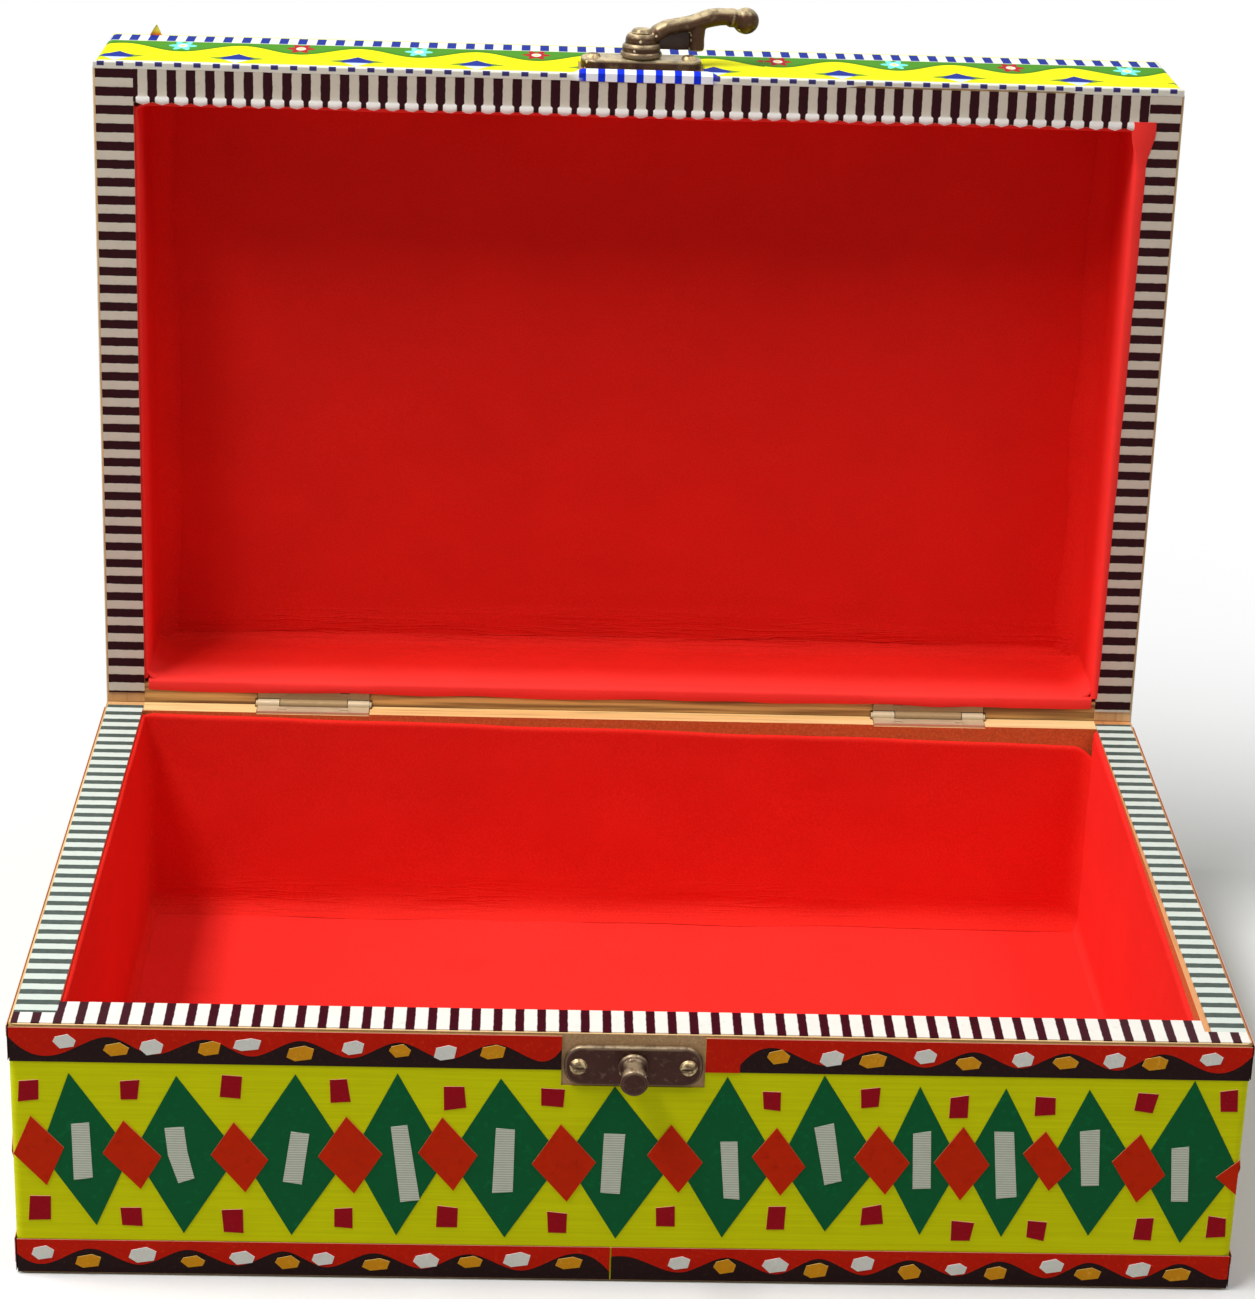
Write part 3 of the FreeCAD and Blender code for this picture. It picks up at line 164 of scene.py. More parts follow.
def effect(name, inputs, outputs):
    """A new shared effect, its nodes, and the sockets that it is given and puts out."""
    tree = bpy.data.node_groups.new(name, "ShaderNodeTree")
    kinds = {"value": "NodeSocketFloat", "colour": "NodeSocketColor", "vector": "NodeSocketVector"}
    for side, labels in (("INPUT", inputs), ("OUTPUT", outputs)):
        for label, kind in labels.items():
            tree.interface.new_socket(label, in_out=side, socket_type=kinds[kind])
    nodes = Nodes(tree)
    return tree, nodes, nodes.add("NodeGroupInput").outputs, nodes.add("NodeGroupOutput").inputs


def make_uneven_tone():
    """A colour that is a little lighter and darker from place to place."""
    tree, nodes, given, result = effect(
        "uneven tone",
        {"Colour": "colour", "Place": "vector", "Scale": "value", "Amount": "value"},
        {"Colour": "colour"},
    )
    patches = nodes.noise(given["Place"], given["Scale"], 4, 0.6)
    swing = nodes.times(nodes.minus(patches, 0.5), given["Amount"])
    gain = nodes.plus(nodes.times(swing, 2), 1)
    scaled = nodes.add("ShaderNodeVectorMath", {0: given["Colour"], "Scale": gain}, operation="SCALE")
    nodes.feed(result["Colour"], scaled.outputs[0])
    return tree


def make_shut_place():
    """Where a point of the lid is, and which way it faces, when the lid is shut."""
    tree, nodes, _, result = effect("shut place", {}, {"Place": "vector", "Facing": "vector"})
    source = nodes.add("ShaderNodeTexCoord").outputs
    for label, socket, centre in (("Place", "Object", PIN * MM), ("Facing", "Normal", Vector())):
        sockets = {"Vector": source[socket], "Center": centre, "Angle": OPENING}
        turn = nodes.add("ShaderNodeVectorRotate", sockets, rotation_type="X_AXIS")
        nodes.feed(result[label], turn.outputs[0])
    return tree


def make_cut_edge():
    """One on the thin cut edges of a piece of vinyl that lies on the box's sides."""
    tree, nodes, given, result = effect(
        "cut edge", {"Place": "vector", "Facing": "vector"}, {"Mask": "value"},
    )
    place, facing = nodes.axes(given["Place"]), nodes.axes(given["Facing"])
    front = nodes.above(nodes.size(place[1]), (HALF_DEPTH + 0.1) * MM)
    on_front = nodes.times(nodes.size(facing[1]), front)
    on_side = nodes.times(nodes.size(facing[0]), nodes.minus(1, front))
    nodes.feed(result["Mask"], nodes.span(nodes.plus(on_front, on_side), 0.9, 0.6))
    return tree


def make_stripes():
    """One on the dark stripes of a striped tape, zero on the pale ones."""
    tree, nodes, given, result = effect(
        "stripes",
        {"Along": "value", "Pitch": "value", "Centre": "value", "Share": "value", "Place": "vector"},
        {"Mask": "value"},
    )
    ragged = nodes.times(nodes.minus(nodes.noise(given["Place"], 600), 0.5), 0.25)
    along = nodes.minus(nodes.plus(given["Along"], ragged), given["Centre"])
    edge = nodes.minus(0.5, nodes.times(given["Share"], 0.5))
    inside = nodes.minus(nodes.beat(along, given["Pitch"]), edge)
    nodes.feed(result["Mask"], nodes.span(inside, -0.02, 0.02))
    return tree


UNEVEN_TONE = make_uneven_tone()
SHUT_PLACE = make_shut_place()
CUT_EDGE = make_cut_edge()
STRIPES = make_stripes()


class Look(Nodes):
    """One material, with its shader and the place and facing that its pattern is laid out by."""

    def __init__(self, name, lid=False):
        self.material = bpy.data.materials.new(name)
        self.material.use_nodes = True
        super().__init__(self.material.node_tree)
        self.shader = self.tree.nodes["Principled BSDF"]
        self.lid = lid
        if lid:
            source = self.add("ShaderNodeGroup", node_tree=SHUT_PLACE).outputs
            self.place, self.facing = source["Place"], source["Facing"]
        else:
            source = self.add("ShaderNodeTexCoord").outputs
            self.place, self.facing = source["Object"], source["Normal"]

    def stretched(self, x, y, z):
        """The place, finer or coarser along each axis."""
        return self.vector("MULTIPLY", self.place, (x, y, z))

    def cloud(self, *settings):
        """A noise over the place."""
        return self.noise(self.place, *settings)

    def millimetres(self):
        """The place along each axis in millimetres."""
        return self.axes(self.stretched(1 / MM, 1 / MM, 1 / MM))

    def toned(self, tone, scale, amount):
        """A tone that is uneven, with patches of that scale."""
        sockets = {"Colour": tone, "Place": self.place, "Scale": scale, "Amount": amount}
        return self.add("ShaderNodeGroup", sockets, node_tree=UNEVEN_TONE).outputs[0]

    def edge(self):
        """One on the cut edges of a vinyl piece."""
        if self.lid:
            return self.span(self.size(self.axes(self.facing)[2]), 0.9, 0.6)
        sockets = {"Place": self.place, "Facing": self.facing}
        return self.add("ShaderNodeGroup", sockets, node_tree=CUT_EDGE).outputs[0]

    def made(self, tone, rough, bump=None, shine=0.5, metallic=0):
        """The whole material; a bump has its height, its depth in millimetres and its strength."""
        sockets = {"Base Color": tone, "Roughness": rough, "Specular IOR Level": shine, "Metallic": metallic}
        if bump:
            height, depth, strength = bump
            given = {"Height": height, "Distance": depth * MM, "Strength": strength}
            sockets["Normal"] = self.add("ShaderNodeBump", given).outputs[0]
        for name, given in sockets.items():
            self.feed(self.shader.inputs[name], given)
        return self.material


def timber(
    name, grain, lid=False, board=None, lines=0.16,
    pale=(232, 194, 140), deep=(208, 160, 104), brown=(190, 100, 44), flecks=(220, 150, 90),
):
    """Pale wood with fibres along one axis; a face that looks along the board direction is brown."""
    along_fibres, across_fibres = 32, 950
    look = Look(name, lid)
    stretch = [along_fibres if axis == grain else across_fibres for axis in range(3)]
    fibres = look.noise(look.stretched(*stretch), 1, 5, 0.65)
    bands = look.noise(look.stretched(*(step * lines for step in stretch)), 1, 2)
    tone = look.mix(look.span(bands, 0.35, 0.65), pale, deep)
    tone = look.mix(look.times(look.span(fibres, 0.5, 0.76), 0.6), tone, (140, 92, 52))
    if board:
        face = look.toned(brown, 1800, 0.5)
        fuzz = look.cloud(1500, 5, 0.75)
        face = look.mix(look.span(fuzz, 0.5, 0.75, 0, 0.8), face, flecks)
        tone = look.mix(look.span(look.vector("DOT_PRODUCT", look.facing, board), 0.5, 0.9), tone, face)
    return look.made(tone, look.span(fibres, 0.3, 0.8, 0.5, 0.75), (fibres, 0.12, 0.7))


def pressed_board(name):
    look = Look(name)
    chips = look.cloud(900, 4, 0.7)
    tone = look.mix(look.span(chips, 0.35, 0.7), (150, 96, 56), (196, 142, 92))
    return look.made(look.toned(tone, 60, 0.15), 0.8, (chips, 0.1, 0.6))


def red_lining(name, dull, bright, lid=False):
    """Matte red sheet with a fine nap, creased along the back; on the lid it is painted lighter towards the
    rim, a painted light on the band that faces up when the lid is open.
    """
    painted_light_from, painted_light_to = LID_RIM + 15, LID_RIM + 3
    creased_within, crease_height = 13, 2.2 if lid else 1.5
    look = Look(name, lid)
    place = look.millimetres()
    nap = look.cloud(2600, 3, 0.7)
    marks = look.noise(look.stretched(26, 60, 60), 1, 4, 0.6)
    tone = look.toned(look.mix(look.span(nap, 0.3, 0.75), dull, bright), 45, 0.1)
    tone = look.mix(look.span(marks, 0.62, 0.8, 0, 0.25), tone, (206, 20, 16))
    # Painted light: the lid's sheets turn a lighter red over the last 15 mm before the rim, standing in for
    # the light on the band that faces up when the lid is open.
    if lid:
        painted_light = look.toned((248, 60, 54), 45, 0.1)
        tone = look.mix(look.span(place[2], painted_light_from, painted_light_to), tone, painted_light)
    rise = look.minus(CEILING, place[2]) if lid else look.minus(place[2], FLOOR)
    off_corner = look.larger(look.minus(INNER_Y, place[1]), rise)
    puckered = look.noise(look.stretched(38, 520, 520), 1, 3, 0.6)
    creases = look.span(look.apart(puckered, 0.5), 0.07, 0)
    creases = look.times(creases, look.span(off_corner, creased_within, 3, 0, crease_height))
    creases = look.times(creases, look.span(look.cloud(30), 0.42, 0.6, 0.25, 1))
    height = look.plus(look.times(nap, 0.35), look.plus(marks, creases))
    return look.made(tone, look.span(nap, 0.2, 0.8, 0.6, 0.8), (height, 0.16, 0.5), shine=0.05)


def striped_tape(
    name, axis, pitch, centre, lid=False, share=0.46, pale=(238, 235, 224), dark=(46, 12, 18), lip=False,
):
    """Tape printed with pale and maroon-black stripes across it; on a rolled lip the pale stripes are wider
    and painted near white, a painted highlight where the lip catches the light.
    """
    look = Look("striped tape, " + name, lid)
    place = look.millimetres()
    # Painted highlight: on the rolled lip the pale stripes are widened and painted near white, as where the
    # lip catches the light.
    if lip:
        white = look.span(place[1], 7.2 - HALF_DEPTH, 7.8 - HALF_DEPTH)
        share = look.minus(share, look.times(white, 0.22))
    sockets = {"Along": place[axis], "Pitch": pitch, "Centre": centre, "Share": share, "Place": look.place}
    stripe = look.add("ShaderNodeGroup", sockets, node_tree=STRIPES).outputs[0]
    worn = tuple(value * 0.82 for value in pale)
    shift_share = look.span(look.cloud(700, 3), 0.6, 0.78, 0, 0.3)
    ground = look.mix(shift_share, look.toned(pale, 240, 0.08), worn)
    # Painted highlight on the lip's pale stripes.
    if lip:
        ground = look.mix(white, ground, (255, 254, 248))
    ink = look.toned(dark, 900, 0.4)
    rough = look.span(stripe, 0, 1, 0.46, 0.4)
    bump = (look.minus(1, stripe), 0.1, 0.6)
    return look.made(look.mix(stripe, ground, ink), rough, bump, shine=0.08)


def printed_tape(name):
    """Tape with rows of blue dashes, a yellow wave under green, blue diamonds and small flowers."""
    repeat, first_diamond = 27.5, -38
    seam, jump_at_seam = 29, 56.7
    wave_middle, wave_height = 17.8, 4.2
    diamond_middle, flower_middle, flower_squash = 7.4, 20.6, 0.62
    petal_reach, petal_depth, petal_count = 2.6, 0.7, 6
    look = Look(name, lid=True)
    place = look.millimetres()
    sideways = look.above(look.size(look.axes(look.facing)[0]), 0.7)
    run = look.plus(look.times(place[0], look.minus(1, sideways)), look.times(place[1], sideways))
    rise = look.minus(place[2], LID_RIM)
    start = look.plus(look.times(look.above(run, seam), jump_at_seam), first_diamond)
    phase = look.over(look.minus(run, start), repeat)
    off_diamond = look.times(look.math("PINGPONG", phase, 0.5), repeat)
    off_flower = look.minus(repeat / 2, off_diamond)
    wave = look.times(look.math("COSINE", look.times(phase, 2 * math.pi)), wave_height)
    over_wave = look.minus(look.minus(rise, wave_middle), wave)

    white = look.toned((236, 236, 222), 300, 0.08)
    blue = look.toned((22, 44, 140), 800, 0.3)
    green = look.mix(look.span(over_wave, 0.2, 3), (60, 118, 8), (72, 140, 30))
    tone = look.mix(look.span(over_wave, -0.3, 0.3), look.toned((252, 250, 10), 200, 0.05), green)
    from_middle = look.apart(rise, diamond_middle)
    blue_or_white = look.mix(look.span(rise, 6.4, 5.4), blue, (206, 224, 250))
    for length, height, paint in ((6.8, 3.6, (120, 150, 30)), (4, 5.2, blue_or_white)):
        inside = look.plus(look.over(off_diamond, length), look.over(from_middle, height))
        tone = look.mix(look.span(inside, 1.06, 0.94), tone, paint)
    upward = look.times(look.minus(rise, flower_middle), flower_squash)
    angle = look.math("ARCTAN2", upward, off_flower)
    far = look.far(off_flower, upward)
    petals = look.times(look.math("COSINE", look.times(angle, petal_count)), petal_depth)
    inside = look.minus(look.plus(petals, petal_reach), far)
    odd = look.above(look.math("FRACT", look.times(phase, 0.5)), 0.5)
    tone = look.mix(look.span(inside, -0.1, 0.15), tone, look.mix(odd, (176, 20, 34), (120, 240, 220)))
    tone = look.mix(look.span(far, 1.25, 1), tone, white)
    tone = look.mix(look.span(far, 0.55, 0.4), tone, (250, 214, 40))
    dash = look.span(look.beat(look.plus(run, DASH_SHIFT), DASH_PITCH), 0.24, 0.28)
    for low, high, middle, half in ((-2, 1.9, -0.6, 1.4), (25.4, 50, 29.2, 3.4)):
        row = look.times(look.span(rise, low - 0.3, low + 0.3), look.span(rise, high + 0.3, high - 0.3))
        mark = look.span(look.apart(rise, middle), half + 0.2, half - 0.2)
        tone = look.mix(row, tone, look.mix(look.times(mark, dash), white, blue))
    bump = (look.noise(look.stretched(60, 60, 400), 1, 3), 0.06, 0.5)
    return look.made(tone, 0.5, bump, shine=0.02)


def dashed_edge(name):
    """The dashed border of the printed tape, brighter where it stands up under the hook's plate."""
    look = Look(name, lid=True)
    place = look.millimetres()
    bright = look.span(look.apart(place[0], PLATE_MIDDLE), 17, 14)
    out = look.minus(-HALF_DEPTH, place[1])
    dash = look.span(look.beat(look.plus(place[0], DASH_SHIFT), DASH_PITCH), 0.29, 0.33)
    dash = look.times(dash, look.larger(bright, look.span(out, -0.75, -0.5)))
    white = look.toned(look.mix(bright, (222, 222, 208), (240, 244, 250)), 300, 0.08)
    blue = look.toned(look.mix(bright, (62, 58, 112), (26, 52, 216)), 800, 0.25)
    bump = (look.cloud(500, 3), 0.06, 0.5)
    return look.made(look.mix(dash, white, blue), 0.5, bump, shine=0.02)


def yellow_foil(name, lid=False):
    """Bright yellow vinyl with fine level streaks; the base's upper edge is worn to brown."""
    look = Look(name, lid)
    stretch = (30, 2600, 2600) if lid else (30, 30, 2600)
    streaks = look.noise(look.stretched(*stretch), 1, 4, 0.6)
    tone = look.mix(look.span(streaks, 0.3, 0.72), (221, 223, 2), (231, 234, 5))
    tone = look.toned(tone, 70, 0.06)
    if not lid:
        worn = look.span(look.millimetres()[2], RIM - 0.8, RIM - 0.45)
        tone = look.mix(worn, tone, look.toned((172, 134, 66), 300, 0.4))
    return look.made(tone, look.span(streaks, 0.2, 0.8, 0.4, 0.55), (streaks, 0.05, 0.6), shine=0.06)


def vinyl(name, lid, tone, light, pale=None, grain=1400, depth=0.05, shine=0.4):
    """A cut vinyl piece: a grained face with lighter marks, and often a pale cut edge, partly the vinyl's
    pale core and partly a painted highlight where the edge catches the light.
    """
    look = Look(name, lid)
    mottle = look.cloud(grain, 4, 0.65)
    face = look.toned(tone, 320, 0.12)
    face = look.mix(look.span(mottle, 0.52, 0.75, 0, 0.8), face, light)
    if pale:
        # Pale cut edge: the vinyl's pale core, with a painted highlight.
        face = look.mix(look.times(look.edge(), 0.7), face, pale)
    rough = look.span(mottle, 0.25, 0.75, shine - 0.08, shine + 0.1)
    return look.made(face, rough, (mottle, depth, 0.6), shine=0.07)


def ribbed_silver(name, lid=False):
    """Silver vinyl with fine ribs across it, painted grey in their troughs and pale on their tops as painted
    shade and highlight, and with pale cut edges that are partly painted highlight.
    """
    rib_pitch = 0.55
    look = Look(name, lid)
    ribs = look.beat(look.millimetres()[1 if lid else 2], rib_pitch)
    # Painted shade and highlight: the tone follows the ribs, grey in their troughs and pale on their tops.
    face = look.mix(look.span(ribs, 0, 0.5), (160, 164, 148), (205, 210, 190))
    face = look.toned(face, 500, 0.1)
    # Pale cut edge: the vinyl's pale core, with a painted highlight.
    face = look.mix(look.times(look.edge(), 0.6), face, (232, 234, 222))
    return look.made(face, 0.42, (ribs, 0.08, 0.8), metallic=0.15)


def metal(
    name, tone, worn, rough, metallic, wear, grain, lid=False, lit_side=None, crevice=None, shine=0.5,
):
    """Metal with an uneven skin: bright where it is raised or worn, with a painted highlight on the side that
    faces the given way, and dark in its crevices, from patina and painted shade.
    """
    look = Look(name, lid)
    skin = look.cloud(grain, 5, 0.65)
    raised = look.add("ShaderNodeNewGeometry").outputs["Pointiness"]
    shift_share = look.times(look.span(raised, 0.505, 0.56), wear)
    shift_share = look.larger(shift_share, look.span(skin, 0.5, 0.9, 0, wear * 0.35))
    # Painted highlight: surfaces facing the given side are painted in the bright colour, standing in for the
    # lamps' light on the tops of the casting.
    if lit_side:
        outward = look.span(look.vector("DOT_PRODUCT", look.facing, lit_side), 0.35, 0.95)
        painted_highlight = look.times(outward, look.span(skin, 0.3, 0.6, 0.35, 1))
        shift_share = look.larger(shift_share, look.times(painted_highlight, wear))
    face = look.mix(shift_share, look.toned(tone, 260, 0.35), worn)
    # Patina and painted shade: the hollows are painted darker.
    if crevice:
        face = look.mix(look.span(raised, 0.495, 0.46), face, crevice)
    uneven = look.span(skin, 0.3, 0.7, rough - 0.08, rough + 0.12)
    return look.made(face, uneven, (skin, 0.06, 0.6), shine, metallic)


def screw_metal(name, node, lid=False):
    """Brass screw heads: a pale rim round a middle and slot painted dark, as painted shade in the recess."""
    look = Look(name, lid)
    low, high = reach(node, lid)
    radius = (high.z - low.z) / 2
    slot_lean = 0.4
    place = look.millimetres()
    across = look.minus(look.size(place[0]), high.x - radius)
    upward = look.minus(place[2], (low.z + high.z) / 2)
    skin = look.cloud(1500, 4, 0.6)
    middle = look.span(look.far(across, upward), radius * 0.72, radius * 0.5)
    slot = look.span(look.apart(upward, look.times(across, slot_lean)), 0.5, 0.3)
    # Painted shade: the recess in the middle and the slot are painted dark.
    dark = look.larger(look.times(middle, look.span(skin, 0.35, 0.6, 1, 0.5)), slot)
    face = look.mix(look.span(skin, 0.35, 0.65), (150, 122, 80), (214, 192, 146))
    face = look.mix(look.times(dark, 0.85), face, (74, 50, 34))
    bump = (look.minus(1, dark), 0.25, 0.7)
    return look.made(face, look.span(skin, 0.3, 0.7, 0.35, 0.55), bump, metallic=0.5)


# Pieces: each mesh is drawn in millimetres, scaled to metres and set to ride on its body


def new_object(name, data):
    made = bpy.data.objects.new(name, data)
    bpy.context.scene.collection.objects.link(made)
    return made


def piece(name, points, faces, look, body, *more, **settings):
    turn = Matrix() if body == "base" else OPENED
    mesh = bpy.data.meshes.new(name)
    mesh.from_pydata([turn @ point * MM for point in points], [], faces)
    return finished(name, mesh, look, body, *more, **settings)


def finished(name, mesh, look, body, slot, stands_for=(), sharp=35):
    """Turns a mesh's faces outwards, shades it, and sets it on its body."""
    work = bmesh.new()
    work.from_mesh(mesh)
    bmesh.ops.recalc_face_normals(work, faces=work.faces)
    work.to_mesh(mesh)
    work.free()
    mesh.shade_smooth()
    mesh.set_sharp_from_angle(angle=math.radians(sharp))
    made = new_object(name, mesh)
    made.data.materials.append(look)
    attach(made, body)
    if stands_for:
        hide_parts(*stands_for)
    return made


def ripple(*place):
    """A smooth unevenness, about half up and half down."""
    return noise.noise(Vector(place))


def unit(value):
    return min(max(value, 0), 1)


def eased(value):
    value = unit(value)
    return value * value * (3 - 2 * value)


def between(start, end, step):
    count = max(1, round((end - start) / step))
    return [start + (end - start) * n / count for n in range(count + 1)]


def cut_steps(length, step):
    """Steps across a sheet, closer together near its two cut edges."""
    near = [0, 0.12, 0.35, 0.75, 1.3, 2, 2.8, 3.8, 5, 6.5]
    margin = 8.2
    return [*near, *between(margin, length - margin, step), *(length - place for place in near[::-1])]


def closed_grid(rows, columns, front, back):
    """The points and faces of a thin sheet whose front and back are grids."""
    points = [front(row, column) for row in range(rows) for column in range(columns)]
    points += [back(row, column) for row in range(rows) for column in range(columns)]
    far = rows * columns

    def at(row, column):
        return row * columns + column

    faces = []
    for row in range(rows - 1):
        for column in range(columns - 1):
            ring = (at(row, column), at(row, column + 1), at(row + 1, column + 1), at(row + 1, column))
            faces += [ring, tuple(far + corner for corner in ring[::-1])]
    rim = [at(0, column) for column in range(columns)]
    rim += [at(row, columns - 1) for row in range(1, rows)]
    rim += [at(rows - 1, column) for column in range(columns - 2, -1, -1)]
    rim += [at(row, 0) for row in range(rows - 2, 0, -1)]
    faces += [(a, far + a, far + b, b) for a, b in zip(rim, rim[1:] + rim[:1])]
    return points, faces


# The red linings


def cove(distance, radius):
    """How far a sheet stands off near a corner that it rounds instead of being pressed into."""
    return radius - math.sqrt(max(0, radius**2 - (radius - distance) ** 2)) if distance < radius else 0


def lining(node, rests_on, out, up, look, key, top=None, swell=None, coves=(0, 0, 0), step=2.2, turned=None):
    """A red sheet in the place of its CAD solid, with soft cut edges and slight wrinkles.

    The coves are the radii in which it rounds the corners at its foot and at its low and high ends,
    and what is turned over the rim is added to it.
    """
    edge_round, thin_edge = 0.75, 0.3
    body = "lid" if node.startswith("lid") else "base"
    low, high = reach(node, body == "lid")
    axis, out_sign = next((n, out[n]) for n in range(3) if out[n])
    rise, up_sign = next((n, up[n]) for n in range(3) if up[n])
    across = 3 - axis - rise
    width, height, thick = (high[n] - low[n] for n in (across, rise, axis))
    wood = low[axis] if out_sign > 0 else high[axis]
    foot = low[rise] if up_sign > 0 else high[rise]
    along, upward = cut_steps(width, step), cut_steps(height, step)

    def place(u, share, face):
        cut = top(u, width, height) if top else height
        v = share * cut
        uneven = 1 + 0.25 * ripple(u / 23, v / 23, key + 4)
        depth = max(cove(near, radius * uneven) for near, radius in zip((v, u, width - u), coves))
        depth += swell(v, u, cut) if swell else 0
        if face:
            edge = min(u, width - u, v, cut - v)
            soft = math.sqrt(max(0, 1 - (1 - min(edge / edge_round, 1)) ** 2))
            wrinkle = 0.16 * ripple(u / 19, v / 11, key) + 0.05 * ripple(u / 4, v / 4, key)
            depth += thick * (thin_edge + (1 - thin_edge) * soft) + soft * (wrinkle - 0.08)
        point = Vector()
        point[across] = low[across] + u
        point[rise] = foot + up_sign * v
        point[axis] = wood + out_sign * max(depth, 0.02)
        return point

    def side(face):
        return lambda row, column: place(along[column], upward[row] / height, face)

    points, faces = closed_grid(len(upward), len(along), side(True), side(False))
    if turned:
        join(points, faces, *turned)
    name = node.replace("lining", "lining_sheet")
    made = piece(name, points, faces, look, body, "red_lining", (node,), sharp=60)


def wall_lining(body, side, look, key, **shape):
    """The lining of a wall of the base, or of a rail of the lid with its foot at the top."""
    inward = {"back": -Y, "front": Y, "left": X, "right": -X}[side]
    carrier, up, over = ("rail", -Z, 0.25) if body == "lid" else ("panel", Z, 0.2)
    shape.setdefault("top", uneven_top(key, over))
    lining(f"{body}_{side}_lining", f"{body}_{side}_{carrier}", inward, up, look, key, **shape)


def join(points, faces, new_points, new_faces):
    """Adds the points and faces of another closed shape."""
    faces.extend([corner + len(points) for corner in face] for face in new_faces)
    points.extend(new_points)


def uneven_top(key, over):
    """A hand-cut top edge that wavers about its height."""
    def top(u, width, height):
        return height + over - 0.3 + 0.3 * ripple(u / 16, key, 0.5)
    return top


def right_top(u, width, height):
    """The cut edge of the base's right sheet falls away towards the front."""
    return height + 0.1 - 3 * (1 - u / width) ** 1.4 + 0.25 * ripple(u / 16, 5.7, 0.5)


def back_top(u, width, height):
    """The cut edge of the base's back sheet falls to the right and ends in a rounded corner."""
    corner = max(0, 1 - (width - u) / 6) ** 2 * 3
    return height - 3.8 * u / width - corner - 0.3 + 0.3 * ripple(u / 16, 2.2, 0.5)


def folds(lines, half, from_top=False):
    """Faint level folds of a sheet; each has its distance from the foot or the top, its height and a seed."""
    def swell(v, u, cut):
        stand = 0
        for place, strength, key in lines:
            line = place + 1.5 * ripple(u / 30, key, 0.2)
            gate = max(0, ripple(u / 40, key, 3.3) + 0.25)
            stand += strength * gate * math.exp(-(((cut - v if from_top else v) - line) / half) ** 2)
        return stand
    return swell


def make_linings():
    base = red_lining("red lining", (222, 36, 26), (236, 47, 37))
    base_lit = red_lining("red lining, lit side", (230, 43, 36), (244, 54, 47))
    lid = red_lining("red lining of the lid", (221, 31, 22), (235, 42, 33), lid=True)
    foot_folds = folds(((1.6, 0.3, 5), (3, 0.34, 6), (4.6, 0.3, 7), (6.6, 0.24, 8), (9.4, 0.14, 9)), 0.8)
    ceiling_folds = folds(
        ((5.4, 0.34, 1), (7.4, 0.3, 11), (9.6, 0.26, 12), (15, 0.2, 2), (24, 0.12, 3), (70, 0.08, 4)),
        1, from_top=True,
    )
    lining("base_floor_lining", "base_bottom_panel", Z, Y, base_lit, 1.3)
    wall_lining("base", "back", base, 2.6, top=back_top, swell=foot_folds, coves=(4.5, 3, 4.2), step=1.5)
    wall_lining("base", "front", base, 3.1, coves=(2, 2, 2))
    wall_lining("base", "left", base, 4.4, coves=(2.2, 0, 0))
    wall_lining("base", "right", base_lit, 5.7, top=right_top, coves=(2.2, 0, 0))
    lining("lid_top_lining", "lid_top_panel", -Z, Y, lid, 6.2, swell=ceiling_folds, step=1.4)
    wall_lining("lid", "back", lid, 7.5, coves=(3, 6, 6), turned=back_turnover())
    wall_lining("lid", "front", lid, 8.9, coves=(3.5, 3.5, 3.5))
    wall_lining("lid", "left", lid, 9.4, coves=(6, 0, 0))
    wall_lining("lid", "right", lid, 10.8, coves=(6, 0, 0), turned=right_turnover())


def strip(stations, section, place, backing):
    """A thin strip whose section at a station gives points across and up, which place sets on the lid.

    The backing says how far from each of these points the strip's other side lies.
    """
    sections = [section(station) for station in stations]

    def front(row, column):
        return place(stations[row], *sections[row][column])

    def back(row, column):
        (across, rise), (further, lift) = sections[row][column], backing[column]
        return place(stations[row], across + further, rise + lift)

    return closed_grid(len(stations), len(backing), front, back)


LINING_BACKING = ((0.3, 0), (0.3, 0), (0.3, 0.1), (0.15, 0.14), (0.1, 0.12), (0, 0.12), (-0.05, 0.08))


def back_turnover():
    """The lid's back sheet is turned over the rim in a narrow strip, also over the hinges."""
    hinges = [reach(f"{side}_hinge_lid_leaf", lid=True) for side in ("left", "right")]

    def section(x):
        clear = min(max(low.x - x, x - high.x) for low, high in hinges)
        low = 0.14 * (1 - unit(clear / 2))
        over = 2.9 + 0.5 * ripple(x / 14, 6.1, 0.4)
        return [
            (0, 3), (-0.08, 1.4), (0.02, 0.4), (0.3, -0.12), (0.7, -0.3 - low),
            (over - 0.3, -0.32 - low), (over, -0.2 - low),
        ]

    def place(x, across, lift):
        return Vector((x, INNER_Y - LINED + across, LID_RIM + lift))

    return strip(between(1 - INNER_X, INNER_X - 1, 1.5), section, place, LINING_BACKING)


def right_turnover():
    """The lid's right sheet is turned over the rim up to the tape, and over it in the front corner."""
    low, high = reach("lid_right_rim_tape", lid=True)
    corner_start, corner_length = -62, 9

    def section(y):
        corner = eased((corner_start - y) / corner_length)
        edge = low.x + (RIGHT_TAPE - low.x) * (high.y - y) / (high.y - low.y)
        over = edge - (INNER_X - LINED) + 0.3 + 1.6 * corner + 0.2 * ripple(y / 9, 3.7, 0.8)
        lie = -0.4 - 0.1 * corner
        pulled = -1.6 * corner
        return [
            (0, 3), (0.2 * pulled - 0.1, 1.4), (0.6 * pulled, 0.4), (pulled + 0.3, -0.14),
            (pulled + 0.8, lie), (over - 0.4, lie), (over, lie + 0.1),
        ]

    def place(y, across, lift):
        return Vector((INNER_X - LINED + across, y, LID_RIM + lift))

    return strip(between(-1.6 - INNER_Y, INNER_Y - 1, 0.8), section, place, LINING_BACKING)


# Tapes of the lid, and the sticker tip


